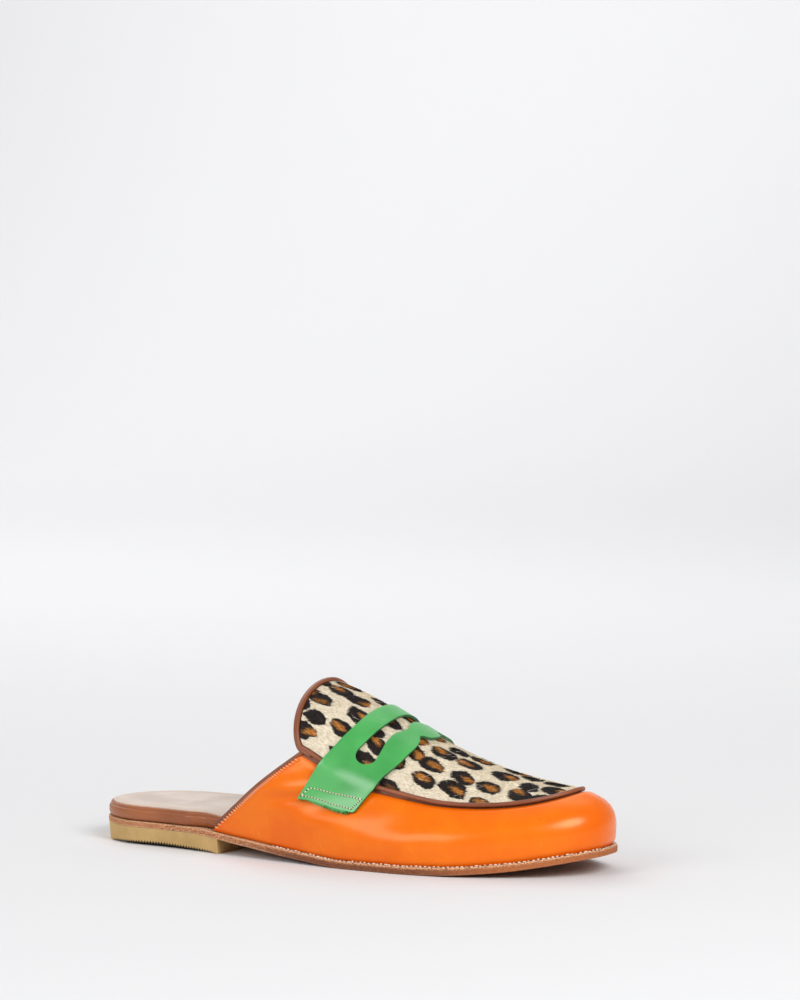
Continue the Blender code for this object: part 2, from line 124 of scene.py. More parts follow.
def outline_normal(angle):
    """Outward plan normal of the sole's edge, from the chord across a small step."""
    along = outline(angle + DIFFERENCE) - outline(angle - DIFFERENCE)
    return unit(np.stack([along[..., 1], -along[..., 0]], -1))


def run_length(path, axis=0):
    """Length along a path up to each of its points, 0 at the first."""
    run = np.cumsum(np.linalg.norm(np.diff(path, axis=axis), axis=-1), axis)
    return np.concatenate([0 * np.take(run, [0], axis), run], axis)


def even_angles(last, count):
    """Angles from the heel's back to last, evenly spaced along the lateral edge, and that edge's length."""
    angle = np.linspace(0, last, OUTLINE_STEPS)
    run = run_length(outline(np.clip(angle, 1e-9, np.pi - 1e-9)))
    return np.interp(np.linspace(0, run[-1], count), run, angle), run[-1]


def signed_power(value, power):
    return np.sign(value) * np.abs(value) ** power


def rounded_side(depth, square, steps):
    """Side profile as inset and level: half a superellipse, depth mm deep, flatter the higher its power."""
    turn = np.linspace(-np.pi / 2, np.pi / 2, steps + 1)
    inset = depth * (1 - np.abs(np.cos(turn)) ** (2 / square))
    return inset, (1 + signed_power(np.sin(turn), 2 / square)) / 2


def sole_layer(angles, profile, edge, low, high, across=LAYER_ACROSS):
    """Closed layer of the sole as rings from heel to toe. A ring climbs the lateral side, crosses the top,
    goes down the medial side and comes back underneath. The side lies edge(u) plus the profile's inset
    inside the outline, at the profile's level between low(u) and high(u).
    Gives the rings, the level at each point and its distance from the side."""
    inset, level = profile

    def raised(plan, at):
        z = low(plan[..., 0]) * (1 - at) + high(plan[..., 0]) * at
        return np.concatenate([plan[..., :2], z[..., None]], -1)

    sides = []
    for angle in (angles, 2 * np.pi - angles):
        rim = outline(angle)
        inside = edge(rim[:, 0])[:, None] + inset
        sides.append(raised(rim[:, None] - outline_normal(angle)[:, None] * inside[..., None], level))
    lateral, medial = sides
    closed = np.abs(np.sin(angles)) < 1e-6
    middle = (lateral + medial) / 2
    lateral[closed] = middle[closed]
    medial[closed] = middle[closed]
    share = np.linspace(0, 1, across + 1)[None, 1:-1, None]
    top = raised(lateral[:, -1:] * (1 - share) + medial[:, -1:] * share, level[-1])
    under = raised(medial[:, :1] * (1 - share) + lateral[:, :1] * share, level[0])
    rings = np.concatenate([lateral, top, medial[:, ::-1], under], 1)
    width = np.linalg.norm(lateral[:, -1] - medial[:, -1], axis=-1)[:, None]
    distance = width * np.minimum(share, 1 - share)[0, :, 0]
    side = 0 * width + 0 * level
    levels = [side + level, 0 * distance + level[-1], side + level[::-1], 0 * distance + level[0]]
    return rings, np.concatenate(levels, 1), np.concatenate([side, distance, side, distance], 1)


def grid_quads(rows, columns, round_columns=False, start=0):
    """Quads of a grid whose normals point along the row step times the column step."""
    index = start + np.arange(rows * columns).reshape(rows, columns)
    if round_columns:
        index = np.concatenate([index, index[:, :1]], 1)
    corners = (index[:-1, :-1], index[1:, :-1], index[1:, 1:], index[:-1, 1:])
    return np.stack(corners, -1).reshape(-1, 4)


def to_scene(points):
    """Millimetres of the plan to the frame's metres, whose origin is under the middle of the shoe."""
    lateral = max(row[SOLE_COLUMNS.index("lateral")] for row in SOLE_ROWS)
    medial = max(row[SOLE_COLUMNS.index("medial")] for row in SOLE_ROWS)
    return (points - np.array([LENGTH / 2, (medial - lateral) / 2, 0.0])) * MM


def add_object(name, data):
    made = bpy.data.objects.new(name, data)
    bpy.context.scene.collection.objects.link(made)
    return made


def add_mesh(name, points, faces, finishes, slot, nodes=(), layers=None, uv=None, face_finish=None,
             closed=True):
    """Piece at the origin from points in millimetres, its doubles merged, riding on the shoe.
    layers are named values at the points, uv is a place on the piece's own map at each point.
    A closed piece has its faces turned outwards; an open sheet keeps them as given."""
    mesh = bpy.data.meshes.new(name)
    mesh.from_pydata(to_scene(points).tolist(), [], faces if isinstance(faces, list) else faces.tolist())
    for key, values in (layers or {}).items():
        mesh.attributes.new(key, "FLOAT", "POINT").data.foreach_set("value", np.ravel(values).astype("f"))
    if uv is not None:
        corner = np.empty(len(mesh.loops), int)
        mesh.loops.foreach_get("vertex_index", corner)
        mesh.uv_layers.new(name="cut").data.foreach_set("uv", np.ravel(uv[corner]).astype("f"))
    if face_finish is not None:
        mesh.polygons.foreach_set("material_index", np.asarray(face_finish, "i"))
    sheet = bmesh.new()
    sheet.from_mesh(mesh)
    bmesh.ops.remove_doubles(sheet, verts=sheet.verts, dist=WELD)
    if closed:
        bmesh.ops.recalc_face_normals(sheet, faces=sheet.faces)
    sheet.to_mesh(mesh)
    sheet.free()
    mesh.shade_smooth()
    mesh.set_sharp_from_angle(angle=np.radians(SHARP_DEGREES))
    for finish in finishes:
        mesh.materials.append(finish)
    piece = add_object(name, mesh)
    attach(piece, "root")
    if nodes:
        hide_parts(*nodes)
    return piece


def add_rings(name, rings, finish, slot, solid, layers=None):
    """Piece from closed rings that shrink to a point at both ends."""
    faces = grid_quads(*rings.shape[:2], round_columns=True)
    return add_mesh(name, rings.reshape(-1, 3), faces, [finish], slot, [solid], layers)


def tint(red, green, blue):
    """Screen colour from 0 to 255 as the linear colour a shader takes."""
    screen = np.array([red, green, blue]) / 255
    linear = np.where(screen <= 0.04045, screen / 12.92, ((screen + 0.055) / 1.055) ** 2.4)
    return (*linear.tolist(), 1.0)


def node(tree, kind, inputs=None, **settings):
    """New node with its settings; an input is a value, or a socket to link from."""
    made = tree.nodes.new(kind)
    for key, value in settings.items():
        setattr(made, key, value)
    for key, value in (inputs or {}).items():
        if isinstance(value, bpy.types.NodeSocket):
            tree.links.new(value, made.inputs[key])
        else:
            made.inputs[key].default_value = value
    return made


def calc(tree, operation, *values):
    made = node(tree, "ShaderNodeMath", dict(enumerate(values)), operation=operation)
    return made.outputs[0]


def fade(tree, value, low, high, amount=1.0):
    """Soft step: 0 at low, amount at high, and the other way round where low is the larger."""
    inputs = {"Value": value, "From Min": low, "From Max": high, "To Max": amount}
    return node(tree, "ShaderNodeMapRange", inputs, interpolation_type="SMOOTHSTEP").outputs[0]


def attribute(tree, name):
    return node(tree, "ShaderNodeAttribute", attribute_name=name).outputs["Fac"]


def blend(tree, share, first, second):
    """Colour between two, by a share from 0 to 1."""
    return node(tree, "ShaderNodeMix", {0: share, 6: first, 7: second}, data_type="RGBA").outputs[2]


def noise(tree, place, scale, detail=3.0, rough=0.55):
    inputs = {"Vector": place, "Scale": scale, "Detail": detail, "Roughness": rough}
    return node(tree, "ShaderNodeTexNoise", inputs).outputs[0]


def new_finish(name, roughness, specular=0.5):
    """Material with a Principled shader; gives it with its tree, shader and Object coordinates."""
    finish = bpy.data.materials.new(name)
    finish.use_nodes = True
    tree = finish.node_tree
    shader = tree.nodes["Principled BSDF"]
    shader.inputs["Roughness"].default_value = roughness
    shader.inputs["Specular IOR Level"].default_value = specular
    return finish, tree, shader, node(tree, "ShaderNodeTexCoord").outputs["Object"]


def coat(tree, shader, colour, height, depth, strength=1.0):
    """Base colour, and a bump of a height from 0 to 1 that is depth mm deep."""
    tree.links.new(colour, shader.inputs["Base Color"])
    inputs = {"Height": height, "Distance": depth * MM, "Strength": strength}
    tree.links.new(node(tree, "ShaderNodeBump", inputs).outputs[0], shader.inputs["Normal"])


def sole_leather():
    """Granular cut edge: two browns in 1 mm grains, paler at the two corners, with painted shade darkening
    the lower part of the edge over the front half, less dark at the toe.
    """
    finish, tree, shader, place = new_finish("sole_leather", 0.72, 0.3)
    grain = noise(tree, place, 1700.0, 4.0, 0.7)
    patch = noise(tree, place, 160.0, 2.0)
    level = attribute(tree, "level")
    along = node(tree, "ShaderNodeSeparateXYZ", {0: place}).outputs[0]
    colour = blend(tree, fade(tree, grain, 0.38, 0.62), tint(114, 61, 35), tint(224, 160, 114))
    colour = blend(tree, fade(tree, patch, 0.45, 0.75, 0.35), colour, tint(182, 112, 80))
    corner = calc(tree, "MAXIMUM", fade(tree, level, 0.28, 0.12), fade(tree, level, 0.78, 0.92))
    corner = calc(tree, "MULTIPLY", corner, fade(tree, grain, 0.36, 0.56, 0.7))
    colour = blend(tree, corner, colour, tint(232, 186, 146))
    # Painted shade: the edge's lower part is darkened from the middle of the shoe forwards, a little less
    # at the toe
    painted_shade = calc(tree, "MULTIPLY", fade(tree, along, -0.05, 0.0), fade(tree, level, 0.95, 0.55, 0.82))
    painted_shade_brown = blend(tree, fade(tree, along, 0.05, 0.10), tint(106, 56, 32), tint(168, 94, 46))
    coat(tree, shader, blend(tree, painted_shade, colour, painted_shade_brown), grain, 0.16)
    return finish


def sole_top(u):
    return sole("lift", u) + sole("thick", u)


angles, _ = even_angles(np.pi, SOLE_RINGS)
rings, levels, _ = sole_layer(angles, rounded_side(*SOLE_SIDE), lambda u: 0 * u,
                              lambda u: sole("lift", u), sole_top)
add_rings("outsole_leather", rings, sole_leather(), "sole_leather", "outsole", {"level": levels})

# Heel: a low block of tan crepe rubber under the rear of the sole, with a straight breast.
# It is moulded, cut flush with the sole's edge and nailed on. The lower edge is worn back off
# the floor along the side, where the tread's fine grooves come out as small teeth.
HEEL_LENGTH = 76.0
HEEL_TOP_INSET = 0.2
HEEL_FLOOR_INSET = 0.8
HEEL_TREAD_INSET = 3.2
HEEL_WORN = 1.35
HEEL_WORN_FROM = 22.0
HEEL_TOOTH_FADE = 4.0
HEEL_TOOTH = 1.6
HEEL_TOOTH_DEEP = 1.15
HEEL_TOOTH_TALL = 7.0
HEEL_TOOTH_STEPS = 6
HEEL_SIDE = (0.15, 9.0, 18)
HEEL_JOINT = 0.05
GAP = 0.3


def crepe_rubber(name, dark, light, pit):
    """Matt rubber with faint cloudy patches and fine pits."""
    finish, tree, shader, place = new_finish(name, 0.78, 0.25)
    pits = noise(tree, place, 1500.0, 3.0, 0.7)
    colour = blend(tree, fade(tree, noise(tree, place, 70.0, 4.0), 0.3, 0.7), dark, light)
    coat(tree, shader, blend(tree, fade(tree, pits, 0.55, 0.75, 0.3), colour, pit), pits, 0.12)
    return finish


breast = np.arccos(1 - 2 * HEEL_LENGTH / LENGTH)
heel_run = even_angles(breast, 2)[1]
heel_rings = int(heel_run / HEEL_TOOTH) * HEEL_TOOTH_STEPS + 1
angles, _ = even_angles(breast, heel_rings)
inset, level = rounded_side(*HEEL_SIDE)
inset = inset + HEEL_TOP_INSET + (HEEL_FLOOR_INSET - HEEL_TOP_INSET) * (1 - level)
inset, level = np.r_[HEEL_TREAD_INSET, inset], np.r_[0.0, level]
rings, _, _ = sole_layer(angles, (inset, level), lambda u: 0 * u, lambda u: 0 * u,
                         lambda u: sole("lift", u) - HEEL_JOINT)
# Worn edge and teeth: the side's lower edge is lifted, with a pointed wave along the run, fading upwards
run = np.linspace(0, heel_run, heel_rings)
worn = np.sin(np.pi * np.clip((run - HEEL_WORN_FROM) / (heel_run - HEEL_WORN_FROM), 0, 1))
wave = HEEL_TOOTH_DEEP * np.abs(np.mod(np.arange(heel_rings) / HEEL_TOOTH_STEPS, 1) * 2 - 1)
lifted = HEEL_WORN * worn + wave * np.clip(HEEL_TOOTH_FADE * worn, 0, 1)
side = np.tile(inset != HEEL_TREAD_INSET, (heel_rings, 1))
middle = np.zeros((heel_rings, (rings.shape[1] - 2 * len(inset)) // 2), bool)
side = np.concatenate([side, middle, side[:, ::-1], middle], 1)
near_floor = np.clip(1 - rings[..., 2] / HEEL_TOOTH_TALL, 0, 1) ** 2 * side
rings[..., 2] += lifted[:, None] * near_floor
faces = grid_quads(*rings.shape[:2], round_columns=True).tolist()
faces.append(np.arange((heel_rings - 1) * rings.shape[1], heel_rings * rings.shape[1])[::-1].tolist())
column = np.arange(rings.shape[1])
# The tread and the slope from it up to the worn edge are near-black: painted shade under the lifted edge
shaded_tread = (column == 0) | (column >= 2 * len(inset) + middle.shape[1] - 2)
add_mesh("heel_block", rings.reshape(-1, 3), faces,
         [crepe_rubber("heel_crepe", tint(186, 152, 98), tint(203, 169, 114), tint(158, 124, 76)),
          crepe_rubber("heel_tread_painted_shade", tint(38, 32, 26), tint(52, 44, 36), tint(20, 16, 14))],
         "heel_block", ["heel"], face_finish=np.r_[np.tile(shaded_tread, heel_rings - 1), False])

# Footbed: a padded insole wrapped in brown leather, glued on the sole.
# The wrap is turned over the edge, so the side is a full round roll with a rim that
# stands level with the sock, and it narrows where it goes inside the upper.
ROLL_STEPS = 34
BED_COLUMNS = ("at", "inset", "thick")
BED_ROWS = (
    (0.00, 0.6, 5.8),
    (0.22, 0.6, 5.8),
    (0.26, 4.3, 5.7),
    (0.45, 4.3, 4.0),
    (1.00, 4.3, 3.5),
)
ROLL_COLUMNS = ("at", "inset", "level")
ROLL_ROWS = (
    (0.00, 1.80, 0.00),
    (0.08, 0.70, 0.03),
    (0.18, 0.05, 0.16),
    (0.32, -0.40, 0.42),
    (0.46, -0.34, 0.68),
    (0.56, 0.05, 0.84),
    (0.62, 0.55, 0.89),
    (0.68, 0.48, 0.94),
    (0.76, 0.55, 1.04),
    (0.88, 1.20, 1.13),
    (1.00, 1.95, 1.00),
)


def bed(name, u):
    return table(BED_COLUMNS, BED_ROWS, name, u / LENGTH)


def bed_top(u):
    return sole_top(u) + GAP + bed("thick", u)


def leather_grain():
    """Node group: fine leather grain on Object coordinates. Height is rounded cells with finer noise over
    them, and Tone is a slow drift from 0 to 1."""
    tree = bpy.data.node_groups.new("leather_grain", "ShaderNodeTree")
    tree.interface.new_socket("Cells", in_out="INPUT", socket_type="NodeSocketFloat")
    tree.interface.new_socket("Height", in_out="OUTPUT", socket_type="NodeSocketFloat")
    tree.interface.new_socket("Tone", in_out="OUTPUT", socket_type="NodeSocketFloat")
    given = tree.nodes.new("NodeGroupInput").outputs["Cells"]
    place = node(tree, "ShaderNodeTexCoord").outputs["Object"]
    cells = node(tree, "ShaderNodeTexVoronoi", {"Vector": place, "Scale": given}, feature="SMOOTH_F1")
    fine = noise(tree, place, calc(tree, "MULTIPLY", given, 0.8), 4.0, 0.65)
    height = calc(tree, "ADD", calc(tree, "MULTIPLY", cells.outputs["Distance"], 0.6),
                  calc(tree, "MULTIPLY", fine, 0.5))
    out = tree.nodes.new("NodeGroupOutput")
    tree.links.new(height, out.inputs["Height"])
    tree.links.new(noise(tree, place, 42.0, 4.0), out.inputs["Tone"])
    return tree


GRAIN = leather_grain()


def add_grain(tree, cells):
    made = node(tree, "ShaderNodeGroup", node_tree=GRAIN)
    made.inputs["Cells"].default_value = cells
    return made.outputs["Height"], made.outputs["Tone"]


def leather(name, dark, light, roughness, cells, depth, vary=0.05, drift=(0.15, 0.85), specular=0.5,
            marks=None):
    """Smooth leather: two tones that drift, a fine grain of so many cells to a metre, and a roughness that
    varies with the drift. marks gives shares and colours that lie over the tones."""
    finish, tree, shader, place = new_finish(name, roughness, specular)
    height, tone = add_grain(tree, cells)
    colour = blend(tree, fade(tree, tone, *drift), dark, light)
    for share, mark in (marks(tree, place) if marks else ()):
        colour = blend(tree, share, colour, mark)
    if vary:
        inputs = {"Value": tone, "To Min": roughness - vary, "To Max": roughness + vary}
        tree.links.new(node(tree, "ShaderNodeMapRange", inputs).outputs[0], shader.inputs["Roughness"])
    coat(tree, shader, colour, height, depth)
    return finish


share = np.linspace(0, 1, ROLL_STEPS)
roll = [table(ROLL_COLUMNS, ROLL_ROWS, name, share) for name in ("inset", "level")]
angles, _ = even_angles(np.pi, SOLE_RINGS)
rings, _, _ = sole_layer(angles, roll, lambda u: bed("inset", u), lambda u: sole_top(u) + GAP, bed_top)
WRAP = leather("brown_wrap", tint(133, 71, 36), tint(169, 100, 58), 0.36, 1100.0, 0.03)
add_rings("footbed_wrap", rings, WRAP, "brown_wrap", "footbed")

# Sock: a pale leather lining laid on the footbed and glued, its edge against the wrap's rim.
# It is smooth and a little shiny, browner where it was rubbed with the wrap's dye near
# its edge, with a few small dark marks.
SOCK_THICK = 0.9
SOCK_INSET = 1.6
SOCK_SIDE = (0.5, 3.0, 8)
SOCK_ACROSS = 24


def sock_marks(tree, place):
    """Brown rub inside the edge, and sparse dark flecks."""
    uneven = calc(tree, "MULTIPLY_ADD", noise(tree, place, 60.0), 9.0, attribute(tree, "inside"))
    fleck = noise(tree, place, 420.0, 2.0, 0.6)
    return ((fade(tree, uneven, 13.0, 4.0, 0.45), tint(196, 160, 134)),
            (fade(tree, fleck, 0.72, 0.78, 0.5), tint(120, 100, 88)))


SOCK = leather("sock_leather", tint(196, 177, 162), tint(220, 204, 191), 0.46, 900.0, 0.04, vary=0.0,
               drift=(0.3, 0.7), marks=sock_marks)
rings, _, distance = sole_layer(angles, rounded_side(*SOCK_SIDE), lambda u: bed("inset", u) + SOCK_INSET,
                                lambda u: bed_top(u) + GAP, lambda u: bed_top(u) + GAP + SOCK_THICK,
                                SOCK_ACROSS)
add_rings("sock_lining", rings, SOCK, "sock_leather", "sock", {"inside": distance})

# Upper: orange satin leather, pulled over the last in one wall from the sole to the apron seam,
# with a paler lining inside. Its foot is tucked under to the sole, its top turns down under
# the piping, and a few soft creases run from the throat where the leather was drawn up.
WELT = 1.2
WALL = 2.4
APRON_RECESS = 1.25
STEP_RUN = 0.25
TOPLINE_FOOT = 72.0
THROAT = 123.0
RISE = 0.62
SWELL = 2.0
ROLL_TOE = 15.0
ROLL_REAR = 64.0
REACH = 0.5
APRON_TIP = 241.0
APRON_ROUND = 58.0
APRON_POWER = 2.2
TONGUE_LONG = 9.5
TONGUE_POWER = 2.8
SLOPE_LIMIT = 0.97
SEAM_STEPS = 240
WALL_STEPS = 40
ARCH_STEPS = 64
TONGUE_STEPS = 12
TUCK_FOOT = 0.7
TUCK_TOP = 0.7
TUCK_RUN = 1.2
APRON_COLUMNS = ("at", "line", "lateral", "medial", "ridge", "edge", "full")
APRON_ROWS = (
    (0.43, 0.0, 39.5, 28.0, 79.4, 54.0, 0.60),
    (0.50, 0.0, 39.5, 29.0, 73.6, 46.0, 0.60),
    (0.56, 0.0, 37.5, 30.0, 67.0, 37.0, 0.60),
    (0.68, 0.0, 35.0, 32.0, 51.8, 31.2, 0.75),
    (0.81, 1.2, 31.0, 31.0, 41.0, 26.8, 0.90),
    (0.94, 2.9, 27.0, 27.0, 35.5, 22.6, 1.00),
)
# Creases: place on the wall, turn from the feather line, half length, half width and depth in mm
CREASE_ROWS = (
    (-0.955, 0.80, 38.0, 10.0, 3.6, 0.50),
    (-0.930, 0.66, 30.0, 13.0, 4.6, 0.60),
    (-0.870, 0.60, 18.0, 17.0, 6.5, 0.75),
    (-0.700, 0.55, 8.0, 22.0, 8.0, 0.60),
    (0.950, 0.78, -36.0, 10.0, 3.8, 0.50),
    (0.920, 0.64, -26.0, 14.0, 5.0, 0.60),
    (0.720, 0.55, -8.0, 20.0, 8.0, 0.60),
)


def arch(name, u):
    return table(APRON_COLUMNS, APRON_ROWS, name, u / LENGTH)


def feather(s):
    """Foot of the upper and its outward normal: the sole's outline moved in by the bare rim.
    s is -1 at the lateral rear, 0 at the toe and 1 at the medial rear."""
    u = TOPLINE_FOOT + (LENGTH - TOPLINE_FOOT) * np.sin(np.pi / 2 * (1 - np.abs(s)))
    angle = np.arccos(1 - 2 * u / LENGTH)
    angle = np.where(s < 0, angle, 2 * np.pi - angle)
    normal = outline_normal(angle)
    plan = outline(angle) - normal * WELT
    z = sole_top(plan[..., 0]) + GAP
    return np.concatenate([plan, z[..., None]], -1), np.concatenate([normal, 0 * z[..., None]], -1)


def apron_sheet(u, q):
    """Arch over the foot: edge height plus rise times (1 - q squared) to the power full.
    q runs from -1 at the lateral edge through 0 on the ridge to 1."""
    half = np.where(q < 0, arch("lateral", u), arch("medial", u))
    rise = arch("ridge", u) - arch("edge", u)
    z = arch("edge", u) + rise * np.clip(1 - q * q, 0, 1) ** arch("full", u)
    return np.stack([u + 0 * q, arch("line", u) + half * q, z], -1)


def apron_place(points):
    """Inverse of apron_sheet in plan: u and q of points above it."""
    u = points[..., 0]
    y = points[..., 1] - arch("line", u)
    half = np.where(y < 0, arch("lateral", u), arch("medial", u))
    return u, np.clip(y / half, -1, 1)


def seam(s):
    """Apron seam as u and q, for the same s as the feather line."""
    u = THROAT + (APRON_TIP - THROAT) * np.sin(np.pi / 2 * (1 - np.abs(s)))
    return u, np.where(s < 0, -1.0, 1.0) * end_round(APRON_TIP - u, APRON_ROUND, APRON_POWER)


def tongue_edge(q):
    """Free rear edge of the tongue as u and q: a superellipse behind the throat."""
    return THROAT - TONGUE_LONG * (1 - np.abs(q) ** TONGUE_POWER) ** (1 / TONGUE_POWER), q


def vamp(s, v):
    """Side wall: a cubic from the feather line (v 0), leaning with the topline, into the seam (v 1)."""
    foot, out = feather(s)
    top = apron_sheet(*seam(s))
    rise = top - foot
    away = np.sum(rise * out, -1, keepdims=True)
    climb = rise - away * out
    roll = np.radians(ROLL_TOE + (ROLL_REAR - ROLL_TOE) * np.abs(s)[..., None])
    reach = REACH * np.hypot(away, climb[..., 2:])
    low = foot + climb * RISE + out * SWELL
    high = top + (out * np.cos(roll) - climb / climb[..., 2:] * np.sin(roll)) * reach
    v = v[..., None]
    return (1 - v) ** 3 * foot + 3 * (1 - v) ** 2 * v * low + 3 * (1 - v) * v ** 2 * high + v ** 3 * top


def arch_shares():
    """Columns across the arch, closer together at its steep sides."""
    return np.sin(np.linspace(-np.pi / 2, np.pi / 2, ARCH_STEPS + 1))


def apron_loop():
    """Closed loop round the apron: along the seam from the lateral throat, then back round the tongue."""
    seam_u, seam_q = seam(np.linspace(-1, 1, SEAM_STEPS + 1))
    tongue_u, tongue_q = tongue_edge(arch_shares()[1:-1][::-1])
    return apron_sheet(np.concatenate([seam_u, tongue_u]), np.concatenate([seam_q, tongue_q]))


def sheet_normal(u, q):
    """Upward unit normal of the apron sheet, from small differences along and across it."""
    q = np.clip(q, -SLOPE_LIMIT, SLOPE_LIMIT)
    along = apron_sheet(u + DIFFERENCE, q) - apron_sheet(u - DIFFERENCE, q)
    across = apron_sheet(u, q + DIFFERENCE) - apron_sheet(u, q - DIFFERENCE)
    return unit(np.cross(along, across))


def inset_loop(inset):
    """The apron's loop moved inwards over its sheet, as u and q."""
    loop = apron_loop()
    along = unit(np.roll(loop, -1, 0) - np.roll(loop, 1, 0))
    inwards = np.cross(sheet_normal(*apron_place(loop)), along)
    return apron_place(loop + inwards * inset)


def apron_grid(inset):
    """Rows over the apron from its toe to the tongue's edge, inside the loop by inset: straight between
    the loop's two sides, then from the throat row to the tongue's edge."""
    loop_u, loop_q = inset_loop(inset)
    toe = SEAM_STEPS // 2
    share = (arch_shares() + 1) / 2
    edge = np.r_[0, np.arange(len(loop_u) - 1, SEAM_STEPS - 1, -1)]
    back = np.linspace(0, 1, TONGUE_STEPS + 1)[1:, None]
    grids = []
    for loop in (loop_u, loop_q):
        lateral = loop[toe::-1][:, None]
        rows = lateral + (loop[toe:SEAM_STEPS + 1][:, None] - lateral) * share
        grids.append(np.concatenate([rows, rows[-1] + (loop[edge] - rows[-1]) * back]))
    return grids


def sheet_normals(points, quads):
    """Unit normals of a sheet of quads, summed by area over all points that share a place."""
    where = np.unique(np.round(points, 4), axis=0, return_inverse=True)[1].ravel()
    corner = points[quads]
    area = np.cross(corner[:, 2] - corner[:, 0], corner[:, 3] - corner[:, 1])
    total = np.zeros((where.max() + 1, 3))
    np.add.at(total, where[quads].ravel(), np.repeat(area, 4, axis=0))
    return unit(total)[where], where


def closed_wall(count, quads, where):
    """Faces of a closed wall between two sheets of count points and the same quads, with strips along
    their free edges, and the number of strips."""
    edges = np.concatenate([quads[:, [k, (k + 1) % 4]] for k in range(4)])
    place = where[edges]
    span = where.max() + 1
    code = place[:, 0] * span + place[:, 1]
    back = place[:, 1] * span + place[:, 0]
    free = edges[(place[:, 0] != place[:, 1]) & ~np.isin(back, code)]
    strips = np.stack([free[:, 1], free[:, 0], free[:, 0] + count, free[:, 1] + count], -1)
    return np.concatenate([quads, quads[:, ::-1] + count, strips]), len(strips)


def crease_depth(points):
    """Height of the creases: each is a trough with a soft ridge on both sides, (1 - 2b^2) exp(-b^2) across
    and exp(-a^2) along, measured in mm on the wall from its own middle."""
    height = np.zeros(points.shape[:-1])
    for s, v, turn, long, wide, deep in CREASE_ROWS:
        middle = vamp(np.array(s), np.array(v))
        along = unit(vamp(np.array(s + DIFFERENCE), np.array(v)) - middle)
        normal = unit(np.cross(along, vamp(np.array(s), np.array(v + DIFFERENCE)) - middle))
        up = np.cross(normal, along)
        line = along * np.cos(np.radians(turn)) + up * np.sin(np.radians(turn))
        a = (points - middle) @ line / long
        b = (points - middle) @ np.cross(normal, line) / wide
        height -= deep * (1 - 2 * b * b) * np.exp(-b * b) * np.exp(-a * a)
    return height


def orange_shade_and_specks(tree, place):
    """Painted shade in the tucks at foot and seam, where the upper meets the sole and goes under the
    piping, with a few dark specks.
    """
    speck = noise(tree, place, 420.0, 1.0, 0.5)
    return ((calc(tree, "MULTIPLY", attribute(tree, "tuck_and_shade"), 0.4), tint(180, 64, 6)),
            (fade(tree, speck, 0.82, 0.86, 0.7), tint(120, 46, 10)))


ORANGE = leather("orange_leather", tint(234, 101, 0), tint(241, 115, 0), 0.265, 1300.0, 0.03, vary=0.045,
                 drift=(0.3, 0.7), marks=orange_shade_and_specks)
satin = ORANGE.node_tree.nodes["Principled BSDF"].inputs
satin["Specular Tint"].default_value = (1.0, 0.90, 0.58, 1.0)
TRIM = leather("brown_trim", tint(114, 60, 33), tint(152, 88, 55), 0.40, 1200.0, 0.05)
LINING = leather("lining_leather", tint(176, 140, 112), tint(200, 168, 140), 0.7, 1000.0, 0.08, vary=0.0,
                 drift=(0.3, 0.7), specular=0.3)
s, v = np.meshgrid(np.linspace(-1, 1, SEAM_STEPS + 1), np.linspace(0, 1, WALL_STEPS + 1), indexing="ij")
wall = vamp(s, v)
from_foot = run_length(wall, 1)
from_top = from_foot[:, -1:] - from_foot
tuck_and_shade = np.exp(-(from_foot / TUCK_RUN) ** 2), np.exp(-(from_top / TUCK_RUN) ** 2)
u, q = apron_grid(STEP_RUN)
backing = apron_sheet(u, q)
rows, columns = u.shape
start = wall.size // 3
points = np.concatenate([wall.reshape(-1, 3), backing.reshape(-1, 3)])
toe = SEAM_STEPS // 2
i = np.arange(SEAM_STEPS + 1)
rim = start + np.abs(i - toe) * columns + np.where(i < toe, 0, columns - 1)
top = i * (WALL_STEPS + 1) + WALL_STEPS
wall_quads = grid_quads(SEAM_STEPS + 1, WALL_STEPS + 1)
backing_quads = grid_quads(rows, columns, start=start)[:, ::-1]
step_quads = np.stack([top[:-1], top[1:], rim[1:], rim[:-1]], -1)
quads = np.concatenate([wall_quads, backing_quads, step_quads])
normals, where = sheet_normals(points, quads)
height = crease_depth(wall) - TUCK_FOOT * tuck_and_shade[0] - TUCK_TOP * tuck_and_shade[1]
lowered = np.concatenate([-height.ravel(), np.full(len(points) - start, APRON_RECESS)])
outer = points - normals * lowered[:, None]
inner = points - normals * WALL
foot, out = feather(s[:, 0])
foot_row = i * (WALL_STEPS + 1)
outer[foot_row] = foot - out * TUCK_FOOT
inner[foot_row] = foot - out * WALL
inner[foot_row, 2] = sole_top(inner[foot_row, 0]) + GAP
faces, strips = closed_wall(len(points), quads, where)
face_finish = np.concatenate([np.zeros(len(wall_quads)), np.ones(len(quads) - len(wall_quads)),
                              np.full(len(quads), 2), np.ones(strips)])
# This layer carries painted shade: the orange is darkened in the tucks along the foot and under the piping
tuck_shade_layer = np.concatenate([np.maximum(*tuck_and_shade).ravel(), np.ones(len(points) - start),
                             np.zeros(len(points))])
add_mesh("upper_leather", np.concatenate([outer, inner]), faces, [ORANGE, TRIM, LINING],
         "orange_leather", ["upper"], {"tuck_and_shade": tuck_shade_layer}, face_finish=face_finish)

# Topline bindings: a brown leather strip folded over the rear edge of the upper on each side.
# The orange leather ends on it in a pinked edge of small teeth, glued and stitched down.
BINDING_WIDE = 1.6
BINDING_LAP = 0.5
BINDING_UNDER = 0.2
BINDING_PROUD = 0.3
BINDING_START = 0.03
BINDING_END = 1.02
BINDING_STEPS = 90
BINDING_SIDES = 24
BINDING_SQUARE = 2.7
PINK_PITCH = 1.5
PINK_STEPS = 6
PINK_DEEP = 1.45
PINK_BACK = 0.5
PINK_END = 0.985
